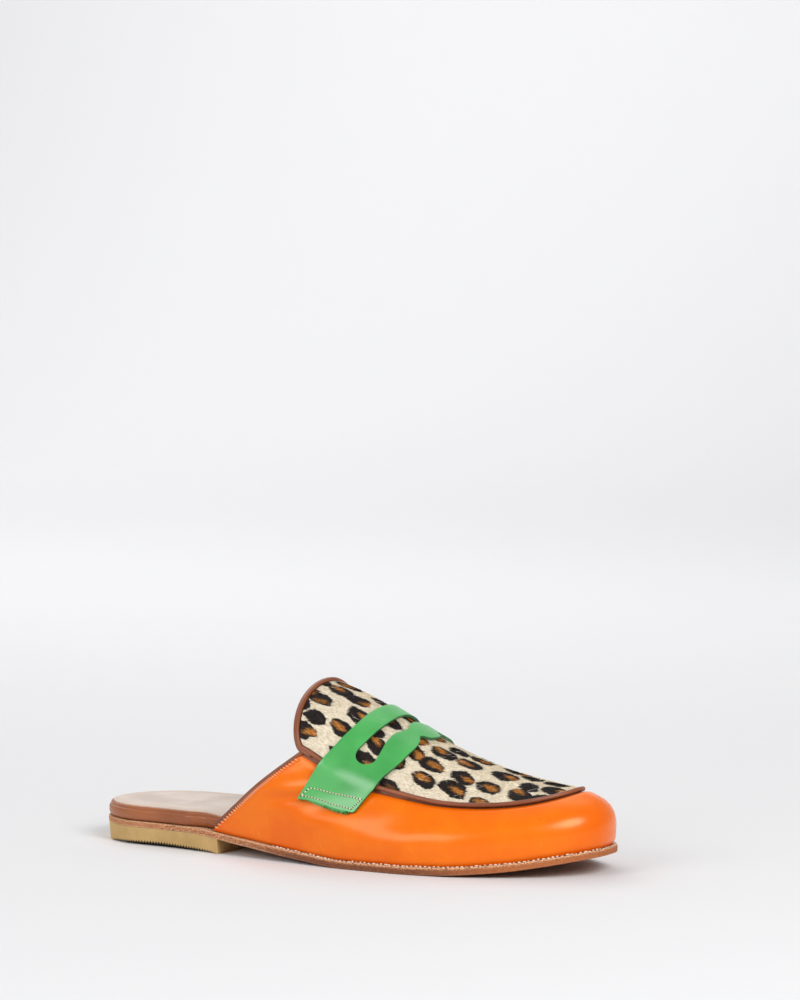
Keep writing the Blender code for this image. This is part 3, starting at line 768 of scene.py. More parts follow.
# Section of the pinked edge: place across the lap, share of the tooth's swing, height off the wall
PINK_SECTION = (
    (-1.60, 0.0, -0.25),
    (-1.60, 0.0, -0.02),
    (-0.90, 0.0, 0.28),
    (-0.28, 1.0, 0.62),
    (0.00, 1.0, 0.36),
    (0.00, 1.0, 0.20),
    (-0.90, 0.0, -0.25),
)
PINK_CUT_HIGHLIGHT_FACE = 3


def topline(side, v):
    """Edge of the upper at the topline, with the ways out of the wall and back off the edge."""
    edge = vamp(0 * v + side, v)
    along = unit(vamp(0 * v + side, v + DIFFERENCE) - vamp(0 * v + side, v - DIFFERENCE))
    forward = vamp(0 * v + side * (1 - DIFFERENCE), v) - edge
    normal = unit(np.cross(forward, along) * -side)
    return edge, normal, np.cross(normal, along) * -side


def sweep(edge, across, lift, section):
    """Closed bar with capped ends: the section's offsets along across and lift at every point of a path."""
    rings = edge[:, None] + across[:, None] * section[..., :1] + lift[:, None] * section[..., 1:]
    quads = grid_quads(*rings.shape[:2], round_columns=True)
    count = rings.shape[1]
    faces = quads.tolist()
    last = len(edge) * count
    faces += [np.arange(count)[::-1].tolist(), np.arange(last - count, last).tolist()]
    return rings.reshape(-1, 3), faces


FOLDED = leather("brown_binding", tint(112, 58, 32), tint(146, 84, 52), 0.38, 1200.0, 0.05)
CUT_EDGE_HIGHLIGHT = leather("orange_cut_edge_highlight", tint(250, 205, 165), tint(255, 236, 214), 0.6, 1600.0, 0.05)
turn = np.linspace(0, 2 * np.pi, BINDING_SIDES, endpoint=False)
round_bar = signed_power(np.stack([np.cos(turn), np.sin(turn)], -1), 2 / BINDING_SQUARE)
size = np.array([(BINDING_WIDE + BINDING_LAP + BINDING_UNDER) / 2, WALL / 2 + BINDING_PROUD])
middle = np.array([GAP + (BINDING_WIDE - BINDING_LAP - BINDING_UNDER) / 2, -WALL / 2])
behind, swing, high = np.array(PINK_SECTION).T
for name, side in (("lateral", -1.0), ("medial", 1.0)):
    edge, normal, back = topline(side, np.linspace(BINDING_START, BINDING_END, BINDING_STEPS))
    points, faces = sweep(edge, back, normal, (middle + round_bar * size)[None])
    add_mesh("topline_binding_" + name + "_leather", points, faces, [FOLDED], "brown_trim",
             ["topline_binding_" + name])
    teeth = int(run_length(edge)[-1] / PINK_PITCH)
    place = np.linspace(0, teeth, teeth * PINK_STEPS + 1)
    edge, normal, back = topline(side, BINDING_START + (PINK_END - BINDING_START) * place / teeth)
    tip = PINK_DEEP * (np.abs(np.mod(place, 1) * 2 - 1)[:, None] - PINK_BACK)
    section = np.stack([behind + swing * tip - BINDING_LAP, high + 0 * tip], -1)
    points, faces = sweep(edge, back, normal, section)
    # The face at each tooth's tip is near-white: the paler cut leather, with a painted highlight on it
    cut = np.r_[np.tile(np.arange(len(high)) == PINK_CUT_HIGHLIGHT_FACE, len(edge) - 1), False, False]
    add_mesh("pinked_edge_" + name, points, faces, [ORANGE, CUT_EDGE_HIGHLIGHT], "orange_leather",
             layers={"tuck_and_shade": 0 * points[:, 0]}, face_finish=cut)

# Apron: hair-on hide printed with leopard spots, cut to the instep and tongue and let into the upper.
# The short flat hair lies from the tongue towards the toe, so the spots have feathered ends,
# and a few longer hairs stand off the surface.
APRON_THICK = 0.9
APRON_BED = 0.1
PIPING_RADIUS = 1.0
PIPING_INSET = 1.5
SPOT_PITCH = (13.4, 10.8)
GIRTH_STEPS = 33
HIDE_SHADE = 0.45
# Hairs: number, length, lift of the tip, width, and spread of their turn in radians
HAIRS = (40000, (0.9, 1.8), (0.1, 0.42), 0.2, 0.16)
STRAY_HAIRS = (120, (3.5, 6.5), (0.9, 2.6), 0.07, 0.5)
HAIR_SHADE = (0.5, 0.22)
HAIR_BASE = 0.12
HAIR_ROOT = 0.2
HAIR_SEED = 11


def leopard_spots():
    """Node group: spots on the hide's own map in mm. A wobbled cell pattern gives one spot a cell; a spot
    is a dark ellipse of its own size and turn, with a caramel patch set off its middle, on cream."""
    tree = bpy.data.node_groups.new("leopard_spots", "ShaderNodeTree")
    tree.interface.new_socket("Colour", in_out="OUTPUT", socket_type="NodeSocketColor")
    tree.interface.new_socket("Streaks", in_out="OUTPUT", socket_type="NodeSocketFloat")

    def vector(operation, *values, output=0):
        made = node(tree, "ShaderNodeVectorMath", dict(enumerate(values)), operation=operation)
        return made.outputs[output]

    def wobble(place, scale, amount, detail):
        """Place moved by noise in both directions, by up to half the amount."""
        inputs = {"Vector": place, "Scale": scale, "Detail": detail}
        shift = node(tree, "ShaderNodeTexNoise", inputs, noise_dimensions="2D").outputs["Color"]
        shift = vector("SUBTRACT", shift, (0.5, 0.5, 0.5))
        return vector("MULTIPLY_ADD", shift, (amount, amount, 0.0), place)

    place = node(tree, "ShaderNodeTexCoord").outputs["UV"]
    cell = vector("MULTIPLY", place, (1 / SPOT_PITCH[0], 1 / SPOT_PITCH[1], 0.0))
    shaped = wobble(wobble(cell, 1.7, 0.26, 1.0), 6.0, 0.13, 2.0)
    inputs = {"Vector": shaped, "Scale": 1.0, "Randomness": 0.50}
    spots = node(tree, "ShaderNodeTexVoronoi", inputs, voronoi_dimensions="2D", feature="F1")
    chance = node(tree, "ShaderNodeSeparateColor", {0: spots.outputs["Color"]}).outputs
    local = vector("SUBTRACT", shaped, spots.outputs["Position"])
    inputs = {"Vector": local, "Angle": calc(tree, "MULTIPLY_ADD", chance[0], 1.8, -0.9)}
    turned = node(tree, "ShaderNodeVectorRotate", inputs, rotation_type="Z_AXIS").outputs[0]
    reach = vector("LENGTH", vector("MULTIPLY", turned, (0.92, 1.06, 0.0)), output="Value")
    streak = node(tree, "ShaderNodeMapping", {"Vector": place, "Scale": (0.5, 1.9, 1.0)}).outputs[0]
    hair = noise(tree, streak, 1.0, 3.0, 0.6)
    size = calc(tree, "MULTIPLY_ADD", chance[1], 0.10, 0.325)
    inside = calc(tree, "SUBTRACT", calc(tree, "MULTIPLY_ADD", hair, 0.11, size), reach)
    inputs = {0: calc(tree, "MULTIPLY_ADD", chance[2], 0.5, -0.25),
              1: calc(tree, "MULTIPLY_ADD", chance[0], 0.36, -0.18)}
    offset = node(tree, "ShaderNodeCombineXYZ", inputs).outputs[0]
    patch = vector("MULTIPLY", vector("SUBTRACT", turned, offset), (0.9, 1.5, 0.0))
    middle = vector("LENGTH", patch, output="Value")
    caramel = calc(tree, "SUBTRACT", calc(tree, "MULTIPLY_ADD", hair, 0.30, 0.075), middle)
    caramel = calc(tree, "MULTIPLY", fade(tree, caramel, -0.10, 0.12), fade(tree, chance[1], 0.16, 0.34))
    cream = blend(tree, fade(tree, hair, 0.32, 0.70), tint(218, 204, 178), tint(243, 234, 215))
    brown = blend(tree, fade(tree, hair, 0.35, 0.65), tint(150, 88, 28), tint(214, 146, 66))
    black = blend(tree, fade(tree, hair, 0.35, 0.72), tint(14, 11, 11), tint(46, 34, 28))
    spot = blend(tree, caramel, black, brown)
    out = tree.nodes.new("NodeGroupOutput")
    tree.links.new(blend(tree, fade(tree, inside, -0.012, 0.022), cream, spot), out.inputs["Colour"])
    tree.links.new(hair, out.inputs["Streaks"])
    return tree


SPOTS = leopard_spots()


def pale_hair():
    """Single long hair, cream and a little shiny."""
    finish, tree, shader, place = new_finish("pale_hair", 0.45, 0.5)
    tree.links.new(blend(tree, noise(tree, place, 90.0), tint(228, 214, 190), tint(252, 246, 232)),
                   shader.inputs["Base Color"])
    return finish


def hair_hide():
    """Spotted hair: colour from the spots, lighter or darker by the hair, with streaks along it."""
    finish, tree, shader, _ = new_finish("spotted_hide", 0.62, 0.35)
    spots = node(tree, "ShaderNodeGroup", node_tree=SPOTS).outputs
    level = calc(tree, "MULTIPLY_ADD", attribute(tree, "shade"), 0.5, 0.75)
    shaded = node(tree, "ShaderNodeHueSaturation", {"Color": spots["Colour"], "Value": level})
    coat(tree, shader, shaded.outputs[0], spots["Streaks"], 0.15, 0.6)
    return finish


def thicken(piece, thick):
    """Wall of so many mm on the outer side of a sheet."""
    shell = piece.modifiers.new("thickness", "SOLIDIFY")
    shell.thickness = thick * MM
    shell.offset = 1.0
    return shell


def hide_map(u, q):
    """Place on the flat hide in mm: u along the shoe and the girth from the ridge across it."""
    fine = np.linspace(0, 1, GIRTH_STEPS).reshape(-1, *[1] * u.ndim)
    line = apron_sheet(u + 0 * fine, q * fine)
    girth = np.linalg.norm(np.diff(line, axis=0), axis=-1).sum(0)
    return np.stack([u, np.sign(q) * girth], -1)


HIDE = hair_hide()
u, q = apron_grid(PIPING_INSET + PIPING_RADIUS + GAP)
sheet = apron_sheet(u, q) - sheet_normal(u, q) * APRON_THICK
hide = add_mesh("apron_hide", sheet.reshape(-1, 3), grid_quads(*u.shape)[:, ::-1], [HIDE], "spotted_hide",
                ["apron"], {"shade": np.full(u.size, HIDE_SHADE)}, hide_map(u, q).reshape(-1, 2),
                closed=False)
thicken(hide, APRON_THICK - APRON_BED)

rng = np.random.default_rng(HAIR_SEED)


def hair_roots(count):
    """Random places spread evenly by area over the hide's grid, as u and q."""
    points = apron_sheet(u, q)
    span = np.cross(points[1:, :-1] - points[:-1, :-1], points[:-1, 1:] - points[:-1, :-1])
    area = np.linalg.norm(span, axis=-1).ravel().cumsum()
    cell = np.searchsorted(area, rng.random(count) * area[-1])
    row, column = np.divmod(cell, u.shape[1] - 1)
    a, b = rng.random((2, count))
    found = []
    for grid in (u, q):
        near = grid[row, column] * (1 - a) + grid[row + 1, column] * a
        far = grid[row, column + 1] * (1 - a) + grid[row + 1, column + 1] * a
        found.append(near * (1 - b) + far * b)
    return found


def hair_mesh(count, long, lift, wide, spread):
    """Closed slivers: a small root triangle let into the hide, running out to a tip that lies along the
    shoe, turned a little at random and lifted off the surface.
    Gives points, faces, map places and shades."""
    root_u, root_q = hair_roots(count)
    root = apron_sheet(root_u, root_q)
    normal = sheet_normal(root_u, root_q)
    along = unit(apron_sheet(root_u + DIFFERENCE, root_q) - apron_sheet(root_u - DIFFERENCE, root_q))
    turn = rng.normal(0, spread, count)[:, None]
    lean = unit(along * np.cos(turn) + np.cross(normal, along) * np.sin(turn))
    length = rng.uniform(*long, count)[:, None]
    rise = rng.uniform(*lift, count)[:, None]
    side = np.cross(normal, lean) * (wide / 2)
    tip = root + lean * length
    tip[:, 2] = apron_sheet(*apron_place(tip))[:, 2]
    base = root - normal * HAIR_BASE
    points = np.stack([base - side, base + side, base - normal * HAIR_ROOT, tip + normal * rise], 1)
    corners = np.array([[3, 1, 0], [3, 2, 1], [3, 0, 2], [1, 2, 0]])
    faces = np.arange(count)[:, None, None] * 4 + corners
    shade = np.repeat(np.clip(rng.normal(*HAIR_SHADE, count), 0, 1), 4)
    places = np.repeat(hide_map(root_u, root_q), 4, axis=0)
    return points.reshape(-1, 3), faces.reshape(-1, 3), places, shade


points, faces, places, shade = hair_mesh(*HAIRS)
add_mesh("apron_hair", points, faces, [HIDE], "spotted_hide", layers={"shade": shade}, uv=places)
points, faces, _, _ = hair_mesh(*STRAY_HAIRS)
add_mesh("apron_stray_hair", points, faces, [pale_hair()], "spotted_hide")

# Piping: a cord wrapped in brown leather, sewn into the seam round the apron and on round the tongue.
# At the tongue's free edge the same leather is turned over the wall as a binding.
PIPING_RAISE = 0.2
PIPING_SIDES = 16
BIND_INSET = 0.8
BIND_TAPER = 7.0
BIND_OVERLAP = 3
# Half width, half height and middle's height of the tongue's binding, at its two ends and between them
BIND_ENDS = (0.8, 0.6, 0.1)
BIND_FULL = (1.15, 2.1, -1.2)


def tube(path, lift, radius, sides):
    """Closed ring tube round a loop: circles in the plane across the path."""
    along = unit(np.roll(path, -1, 0) - np.roll(path, 1, 0))
    side = unit(np.cross(along, lift))
    up = np.cross(side, along)
    turn = np.linspace(0, 2 * np.pi, sides, endpoint=False)[None, :, None]
    rings = path[:, None] + radius * (side[:, None] * np.cos(turn) + up[:, None] * np.sin(turn))
    rings = np.concatenate([rings, rings[:1]])
    return rings.reshape(-1, 3), grid_quads(*rings.shape[:2], round_columns=True)[:, ::-1]


place = inset_loop(PIPING_INSET)
lift = sheet_normal(*place)
points, faces = tube(apron_sheet(*place) + lift * PIPING_RAISE, lift, PIPING_RADIUS, PIPING_SIDES)
add_mesh("piping_cord", points, faces, [TRIM], "brown_trim", ["piping"])

loop_u, loop_q = inset_loop(BIND_INSET)
order = np.r_[SEAM_STEPS - BIND_OVERLAP:len(loop_u), :BIND_OVERLAP + 1]
path = apron_sheet(loop_u[order], loop_q[order])
lift = sheet_normal(loop_u[order], loop_q[order])
run = run_length(path)
full = np.clip(np.minimum(run, run[-1] - run) / BIND_TAPER, 0, 1)[:, None, None]
full = full * full * (3 - 2 * full)
bar = np.array(BIND_ENDS) * (1 - full) + np.array(BIND_FULL) * full
across = np.cross(unit(np.gradient(path, axis=0)), lift)
points, faces = sweep(path, across, lift, round_bar * bar[..., :2] + bar[..., 2:] * [0.0, 1.0])
add_mesh("tongue_binding", points, faces, [TRIM], "brown_trim")

# Strap: green leather saddle strap laid over the instep, cut with a long slot, a lobed front edge and a
# pinch at the middle. Each end is stitched to the side of the upper in a box of cream thread, its cut
# edges are painted darker, and it stands up in a soft fold where it crosses the piping.
STRAP_THICK = 1.25
STRAP_CLEAR = 0.5
STRAP_SEWN = (50.0, 66.0, 0.4)
STRAP_GIRTH = 71.0
STRAP_END_SLANT = 8.5
STRAP_SLANT_FROM = 46.0
STRAP_MEDIAL = 0.89
STRAP_HUMP = 1.2
STRAP_HUMP_WIDE = 8.0
STRAP_CORNER = 3.0
STRAP_EDGE = 0.28
STRAP_EDGE_STEPS = 3
STRAP_EDGE_DEGREES = 50.0
SLOT_END = 40.0
SLOT_ROUND = 5.0
SLOT_STEPS = 40
SLOT_ROUND_STEPS = 12
STRAP_END_STEPS = 30
STRAP_CORNER_STEPS = 8
BAND_STEPS = 8
MAP_STATIONS = (118.0, 172.0, 55)
MAP_GIRTH = 76.0
MAP_STEPS = 305
MAP_WALL = (161, 41)
MAP_BOW = 81
MAP_EASE = (32, 6)
MAP_SLOPE = 1.5
STITCH_PITCH = 1.5
STITCH_LONG = 0.95
STITCH_RADIUS = 0.28
# Corners of a stitch box: share across the strap, and distance from its cut end
STITCH_BOX = ((0.035, 1.9), (0.93, 3.6), (0.965, 13.0), (0.09, 6.9))
HOLE_OFF = 0.35
HOLE_HALF = 0.3
HOLE_RADIUS = 0.3
HOLE_BOW = -0.2
FRAYS = 75
FRAY_ACROSS = (0.02, 0.9)
FRAY_ROOT = 0.3
FRAY_LONG = (0.1, 1.0)
FRAY_LEAN = 0.02
FRAY_HEIGHT = (0.7, 1.2)
FRAY_RADIUS = 0.14
STRAP_COLUMNS = ("girth", "rear", "front", "slot", "slot_wide")
STRAP_ROWS = (
    (0.0, 144.0, 170.0, 155.0, 5.4),
    (4.0, 144.0, 169.3, 155.2, 5.9),
    (8.0, 143.8, 165.7, 155.9, 7.2),
    (12.0, 143.4, 167.6, 155.5, 6.9),
    (17.0, 142.9, 168.2, 154.4, 5.8),
    (23.0, 142.0, 167.4, 153.6, 6.3),
    (29.0, 140.6, 166.2, 152.9, 7.6),
    (35.0, 138.7, 164.0, 151.7, 8.8),
    (40.0, 137.1, 161.7, 149.9, 8.8),
    (52.0, 132.1, 157.2, 144.4, 8.8),
    (71.0, 123.0, 151.2, 136.0, 8.8),
)


def wall_line(side_wall, station):
    """Upright section of one side wall, from its foot or topline up to the seam."""
    line = []
    for column in np.swapaxes(side_wall, 0, 1):
        if column[-1, 0] <= station:
            line.append([np.interp(station, column[::-1, 0], column[::-1, axis]) for axis in range(3)])
    return np.array(line)


def instep_map():
    """Upright sections of the upper at even stations, each read at even girths from the ridge,
    with the girths of the piping on its two sides."""
    s, v = np.meshgrid(*(np.linspace(0, 1, count) for count in MAP_WALL), indexing="ij")
    walls = (vamp(-s, v), vamp(s, v))
    girths = np.linspace(-MAP_GIRTH, MAP_GIRTH, MAP_STEPS)
    bow = np.sin(np.linspace(-np.pi / 2, np.pi / 2, MAP_BOW))
    places = []
    piping = []
    for station in np.linspace(*MAP_STATIONS):
        seam_q = end_round(APRON_TIP - station, APRON_ROUND, APRON_POWER)
        over = apron_sheet(station + 0 * bow, bow * seam_q)
        lateral = wall_line(walls[0], station)[:-1]
        line = np.concatenate([lateral, over, wall_line(walls[1], station)[-2::-1]])
        run = run_length(line)
        run -= run[len(lateral) + len(bow) // 2]
        places.append(np.stack([np.interp(girths, run, line[:, axis]) for axis in range(3)], -1))
        piping.append((run[len(lateral)] + PIPING_INSET, run[len(lateral) + len(bow) - 1] - PIPING_INSET))
    return np.array(places), np.array(piping)


def eased(grid, axis, passes):
    """Grid with each value drawn to its two neighbours along one axis, a quarter each, again and again."""
    for _ in range(passes):
        around = [(1, 1) if k == axis else (0, 0) for k in range(grid.ndim)]
        wide = np.moveaxis(np.pad(grid, around, mode="reflect", reflect_type="odd"), axis, 0)
        grid = np.moveaxis((wide[:-2] + 2 * wide[1:-1] + wide[2:]) / 4, 0, axis)
    return grid


INSTEP, PIPING_GIRTHS = instep_map()
INSTEP = eased(eased(INSTEP, 1, MAP_EASE[0]), 0, MAP_EASE[1])


def instep(station, girth):
    """Place on the upper at a station and girth, between the four nearest places of the map."""
    first, last, count = MAP_STATIONS
    a = np.clip((station - first) / (last - first) * (count - 1), 0, count - 1.001)
    b = np.clip((girth + MAP_GIRTH) / (2 * MAP_GIRTH) * (MAP_STEPS - 1), 0, MAP_STEPS - 1.001)
    i, j = a.astype(int), b.astype(int)
    a, b = (a - i)[..., None], (b - j)[..., None]
    near = INSTEP[i, j] * (1 - b) + INSTEP[i, j + 1] * b
    far = INSTEP[i + 1, j] * (1 - b) + INSTEP[i + 1, j + 1] * b
    return near * (1 - a) + far * a


def over_instep(station, girth, height):
    """Point height mm off the upper, plus the fold over the piping and less where the end is sewn down,
    and the normal there."""
    along = instep(station + MAP_SLOPE, girth) - instep(station - MAP_SLOPE, girth)
    across = instep(station, girth + MAP_SLOPE) - instep(station, girth - MAP_SLOPE)
    normal = unit(np.cross(along, across))
    stations = np.linspace(*MAP_STATIONS)
    piping = np.where(girth < 0, np.interp(station, stations, PIPING_GIRTHS[:, 0]),
                      np.interp(station, stations, PIPING_GIRTHS[:, 1]))
    hump = STRAP_HUMP * np.exp(-((girth - piping) / STRAP_HUMP_WIDE) ** 2)
    start, full, down = STRAP_SEWN
    sewn = np.clip((np.abs(girth) - start) / (full - start), 0, 1)
    return instep(station, girth) + normal * (height + hump - down * sewn)[..., None], normal


def strap_place(signed, across, rear, front):
    """Station and girth on the strap: across runs 0 to 1 over its full width, and its ends are slanted."""
    girth = np.abs(signed)
    slant = STRAP_END_SLANT * np.clip((girth - STRAP_SLANT_FROM) / (STRAP_GIRTH - STRAP_SLANT_FROM), 0, 1)
    reach = np.sign(signed) * (girth - slant * across) * np.where(signed > 0, STRAP_MEDIAL, 1.0)
    return rear + (front - rear) * across, reach


def strap_edge(name, girth):
    return table(STRAP_COLUMNS, STRAP_ROWS, name, np.abs(girth))


def stitches(starts, ends, lift, radius, bow=0.5, sides=7, steps=7):
    """Closed stitches: each a spindle from start to end, bowed up along lift by a parabola,
    its radius falling to nothing at both ends as a flattened circle."""
    share = np.linspace(0, 1, steps)[None, :, None]
    radius = np.reshape(radius, (-1, 1, 1))
    path = starts[:, None] + (ends - starts)[:, None] * share
    path = path + lift[:, None] * (bow * radius * 4 * share * (1 - share))
    along = unit(ends - starts)
    side = unit(np.cross(along, lift))
    up = np.cross(side, along)
    turn = np.linspace(0, 2 * np.pi, sides, endpoint=False)
    ring = side[:, None, None] * np.cos(turn)[:, None] + up[:, None, None] * np.sin(turn)[:, None]
    thick = (radius * np.sqrt(np.clip(1 - (2 * share - 1) ** 4, 0, 1)))[..., None]
    points = path[:, :, None] + ring * thick
    one = grid_quads(steps, sides, round_columns=True)
    faces = np.arange(len(starts))[:, None, None] * steps * sides + one
    return points.reshape(-1, 3), faces.reshape(-1, 4)


over = np.linspace(0, SLOT_END - SLOT_ROUND, SLOT_STEPS + 1)
end = SLOT_END - SLOT_ROUND + SLOT_ROUND * np.sin(np.linspace(0, np.pi / 2, SLOT_ROUND_STEPS + 1))
rest = np.linspace(SLOT_END, STRAP_GIRTH - STRAP_CORNER, STRAP_END_STEPS + 1)
corner = STRAP_GIRTH - STRAP_CORNER * (1 - np.sin(np.linspace(0, np.pi / 2, STRAP_CORNER_STEPS + 1)))
half = np.concatenate([over, end[1:], rest[1:], corner[1:]])
signed = np.concatenate([-half[:0:-1], half])
rear, front, slot = (strap_edge(name, signed) for name in ("rear", "front", "slot"))
front = front - STRAP_CORNER * (1 - end_round(STRAP_GIRTH - np.abs(signed), STRAP_CORNER, 2.0))
half_slot = strap_edge("slot_wide", signed) / 2 * end_round(SLOT_END - np.abs(signed), SLOT_ROUND, 2.0)
share = np.linspace(0, 1, BAND_STEPS + 1)
sheets = []
faces = []
for first, last in ((rear, slot - half_slot), (slot + half_slot, front)):
    station = first[:, None] + (last - first)[:, None] * share
    across = (station - rear[:, None]) / (front - rear)[:, None]
    place = strap_place(signed[:, None] + 0 * across, across, rear[:, None], front[:, None])
    faces.append(grid_quads(len(signed), BAND_STEPS + 1, start=len(sheets) * across.size)[:, ::-1])
    sheets.append(over_instep(*place, STRAP_CLEAR + 0 * across)[0].reshape(-1, 3))
GREEN = leather("green_leather", tint(52, 154, 68), tint(70, 174, 84), 0.33, 1500.0, 0.02, vary=0.07,
                drift=(0.3, 0.7), specular=1.0)
GREEN_CUT = leather("green_cut_edge", tint(28, 84, 40), tint(44, 112, 54), 0.63, 1500.0, 0.02, vary=0.07,
                    drift=(0.3, 0.7), specular=1.0)
strap = add_mesh("strap_leather", np.concatenate(sheets), np.concatenate(faces), [GREEN, GREEN_CUT],
                 "green_leather", ["strap"], closed=False)
thicken(strap, STRAP_THICK).material_offset_rim = 1
rounding = strap.modifiers.new("edge", "BEVEL")
rounding.width = STRAP_EDGE * MM
rounding.segments = STRAP_EDGE_STEPS
rounding.material = 1
rounding.limit_method = "ANGLE"
rounding.angle_limit = np.radians(STRAP_EDGE_DEGREES)


def thread(name, dark, light):
    """Twisted thread: fine light and dark slants."""
    finish, tree, shader, place = new_finish(name, 0.7, 0.3)
    twist = noise(tree, place, 2600.0, 2.0)
    coat(tree, shader, blend(tree, fade(tree, twist, 0.35, 0.65), dark, light), twist, 0.08)
    return finish


def box_rows(side):
    """Stitches of one strap end: two rows across it, at distances from its cut end, and two short sides."""
    corners = np.array(STITCH_BOX + STITCH_BOX[:1])
    starts = []
    ends = []
    for (ta, da), (tb, db) in zip(corners[:-1], corners[1:]):
        wide = strap_edge("front", STRAP_GIRTH) - strap_edge("rear", STRAP_GIRTH)
        count = max(2, round(float(np.hypot((tb - ta) * wide, db - da) / STITCH_PITCH)))
        mark = np.arange(count) / count
        gap = (1 - STITCH_LONG / STITCH_PITCH) / count / 2
        for line, share in ((starts, mark + gap), (ends, mark + 1 / count - gap)):
            across = ta + (tb - ta) * share
            signed = side * (STRAP_GIRTH - (da + (db - da) * share))
            place = strap_place(signed, across, strap_edge("rear", signed), strap_edge("front", signed))
            line.append(np.stack(over_instep(*place, 0 * across + STRAP_CLEAR + STRAP_THICK), 1))
    starts, ends = np.concatenate(starts), np.concatenate(ends)
    return starts[:, 0], ends[:, 0], starts[:, 1]


rows = [np.concatenate(parts) for parts in zip(box_rows(-1.0), box_rows(1.0))]
CREAM = thread("cream_thread", tint(222, 212, 168), tint(250, 244, 216))
add_mesh("strap_stitches", *stitches(*rows, STITCH_RADIUS), [CREAM], "green_leather")
# Holes: a dark spindle at both ends of every stitch, painted shade for the hollow of each stitch hole
reach = unit(rows[1] - rows[0])
holes = np.concatenate([rows[0] - reach * HOLE_OFF, rows[1] + reach * HOLE_OFF])
span = np.tile(reach, (2, 1)) * HOLE_HALF
points, faces = stitches(holes - span, holes + span, np.tile(rows[2], (2, 1)), HOLE_RADIUS, HOLE_BOW)
HOLE_SHADE = thread("hole_painted_shade", tint(14, 36, 18), tint(26, 54, 28))
add_mesh("strap_stitch_hole_shade", points, faces, [HOLE_SHADE], "green_leather")

# Frayed fibres along the two cut ends
side = np.repeat([-1.0, 1.0], FRAYS)
across = rng.uniform(*FRAY_ACROSS, 2 * FRAYS)
rear, front = strap_edge("rear", side * STRAP_GIRTH), strap_edge("front", side * STRAP_GIRTH)
fibre_ends = []
for drop in (np.full(2 * FRAYS, FRAY_ROOT), -rng.uniform(*FRAY_LONG, 2 * FRAYS)):
    place = strap_place(side * (STRAP_GIRTH - drop), across + FRAY_LEAN * (drop < 0), rear, front)
    fibre_ends.append(over_instep(*place, rng.uniform(*FRAY_HEIGHT, 2 * FRAYS)))
(roots, lift), (tips, _) = fibre_ends
FIBRE = thread("green_fibre", tint(20, 62, 28), tint(78, 138, 66))
add_mesh("strap_frayed_ends", *stitches(roots, tips, lift, FRAY_RADIUS), [FIBRE], "green_leather")

# Sole stitching: a row of pale waxed thread along the rim of the sole, close to the foot of the upper.
# It holds the turned-in leather and ends at the waist on both sides.
SOLE_STITCH_FROM = 108.0
SOLE_STITCH_PITCH = 2.1
SOLE_STITCH_LONG = (0.8, 2.0)
SOLE_STITCH_INSET = 0.5
SOLE_STITCH_RAISE = (0.05, 0.4)
SOLE_STITCH_RADIUS = (0.18, 0.32)
RIM_STEPS = 4000


def rim_place(angle):
    """Point on top of the sole's rim."""
    plan = outline(angle) - outline_normal(angle) * SOLE_STITCH_INSET
    return np.concatenate([plan, sole_top(plan[:, 0])[:, None]], 1)


angle = np.arccos(1 - 2 * SOLE_STITCH_FROM / LENGTH)
fine = np.linspace(angle, 2 * np.pi - angle, RIM_STEPS)
run = run_length(rim_place(fine))
mark = np.arange(0, run[-1] - SOLE_STITCH_PITCH, SOLE_STITCH_PITCH)
starts = rim_place(np.interp(mark, run, fine))
ends = rim_place(np.interp(mark + rng.uniform(*SOLE_STITCH_LONG, len(mark)), run, fine))
up = np.tile([0.0, 0.0, 1.0], (len(mark), 1))
raised = up * rng.uniform(*SOLE_STITCH_RAISE, (len(mark), 1))
radius = rng.uniform(*SOLE_STITCH_RADIUS, len(mark))
WAXED = thread("waxed_thread", tint(224, 184, 150), tint(252, 240, 222))
add_mesh("sole_stitches", *stitches(starts + raised, ends + raised, up, radius), [WAXED], "sole_leather")

# Floor, light and camera: a pale sweep under five large soft lights: overhead, in front, at the toe,
# over the floor behind the shoe and on the background.
FLOOR_HALF = 6.0
FLOOR_COLOUR = (0.77, 0.77, 0.78, 1.0)
SWEEP_START = 3.0
SWEEP_RADIUS = 1.5
SWEEP_STEPS = 24
WORLD_LIGHT = 0.35
# Lights: place, aim and size in metres, power in watts, spread in degrees
LIGHT_ROWS = (
    ("overhead_light", (-1.5, 0.7, 1.5), (0.0, 0.0, 0.0), (2.0, 2.0), 11.5, 180.0),
    ("front_light", (-0.70, -2.0, 1.05), (0.0, 0.0, 0.0), (1.6, 1.15), 18.5, 180.0),
    ("toe_light", (1.42, -0.75, 1.15), (0.0, 0.0, 0.0), (1.1, 1.1), 26.0, 180.0),
    ("floor_light", (-0.25, 1.1, 1.6), (-0.30, 1.2, 0.0), (1.2, 1.2), 1.9, 100.0),
    ("background_light", (-2.2, 2.4, 3.0), (-2.9, 4.1, 0.3), (3.0, 3.0), 79.0, 180.0),
)
CAMERA_AZIMUTH = 30.0
CAMERA_ELEVATION = 8.0
CAMERA_DISTANCE = 1.66
CAMERA_TARGET = (0.0, 0.00085, 0.020)
IMAGE_SIZE = (800, 1000)
TARGET_PIXEL = (355.2, 808.7)
FOCAL_PIXELS = 3657.0
SENSOR = 36.0
CAMERA_TURNS = 40
CAMERA_FAR = 50.0


def aimed(spot, right, up, ahead):
    turn = Matrix(np.stack([right, up, -ahead], 1).tolist())
    return Matrix.LocRotScale(spot, turn.to_quaternion(), None)


def looking(yaw, pitch):
    """Unit vector along +Y, turned by yaw and raised by pitch."""
    return np.array([-np.sin(yaw) * np.cos(pitch), np.cos(yaw) * np.cos(pitch), np.sin(pitch)])


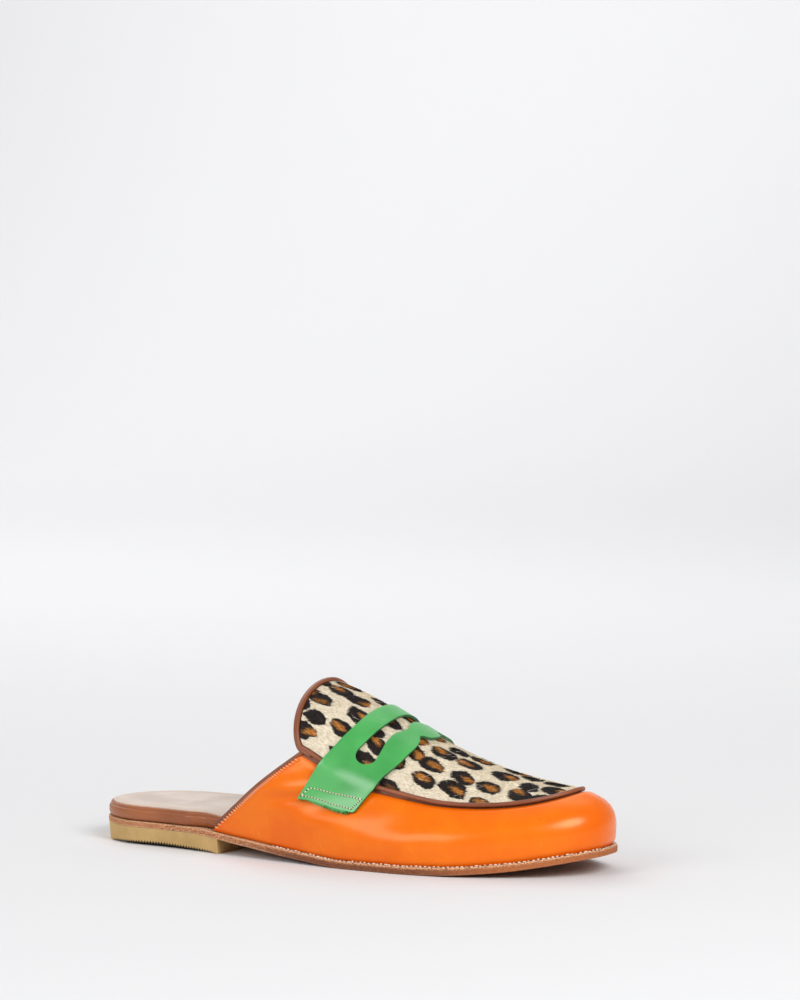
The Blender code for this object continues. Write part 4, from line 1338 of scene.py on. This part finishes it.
PALE, _, shader, _ = new_finish("pale_floor", 0.85, 0.2)
shader.inputs["Base Color"].default_value = FLOOR_COLOUR
bend = np.linspace(0, np.pi / 2, SWEEP_STEPS + 1)
profile_y = np.r_[-FLOOR_HALF, SWEEP_START + SWEEP_RADIUS * np.sin(bend), SWEEP_START + SWEEP_RADIUS]
profile_z = np.r_[0.0, SWEEP_RADIUS * (1 - np.cos(bend)), FLOOR_HALF]
profile = np.stack([0 * profile_y, profile_y, profile_z], -1)
points = np.array([[[-FLOOR_HALF, 0.0, 0.0]], [[FLOOR_HALF, 0.0, 0.0]]]) + profile
floor_mesh = bpy.data.meshes.new("floor")
floor_mesh.from_pydata(points.reshape(-1, 3).tolist(), [], grid_quads(2, len(profile)).tolist())
floor_mesh.shade_smooth()
floor_mesh.materials.append(PALE)
floor = add_object("floor", floor_mesh)

for name, spot, at, size, power, spread in LIGHT_ROWS:
    lamp = bpy.data.lights.new(name, "AREA")
    lamp.shape = "ELLIPSE"
    lamp.size, lamp.size_y = size
    lamp.energy = power
    lamp.spread = np.radians(spread)
    ahead = unit(np.array(at) - np.array(spot))
    right = unit(np.cross(ahead, [0.0, 0.0, 1.0]))
    add_object(name, lamp).matrix_world = aimed(spot, right, np.cross(right, ahead), ahead)

world = bpy.data.worlds.new("studio")
world.use_nodes = True
background = world.node_tree.nodes["Background"].inputs
background["Color"].default_value = (1.0, 1.0, 1.0, 1.0)
background["Strength"].default_value = WORLD_LIGHT
bpy.context.scene.world = world
bpy.context.scene.view_settings.view_transform = "Standard"

yaw, pitch = np.radians(CAMERA_AZIMUTH), -np.radians(CAMERA_ELEVATION)
away = -looking(yaw, pitch)
stand = np.array(CAMERA_TARGET) + CAMERA_DISTANCE * away
want = (np.array(TARGET_PIXEL) - np.array(IMAGE_SIZE) / 2) / FOCAL_PIXELS
for _ in range(CAMERA_TURNS):
    # Turned a little each time until the target falls on its pixel, with no roll
    ahead = looking(yaw, pitch)
    right = np.array([np.cos(yaw), np.sin(yaw), 0.0])
    up = np.cross(right, ahead)
    yaw += want[0] + away @ right / (-away @ ahead)
    pitch += want[1] - away @ up / (-away @ ahead)
lens = bpy.data.cameras.new("camera")
lens.sensor_width = SENSOR
lens.lens = SENSOR * FOCAL_PIXELS / max(IMAGE_SIZE)
lens.clip_end = CAMERA_FAR
camera = add_object("camera", lens)
camera.matrix_world = aimed(stand, right, up, ahead)
bpy.context.scene.camera = camera
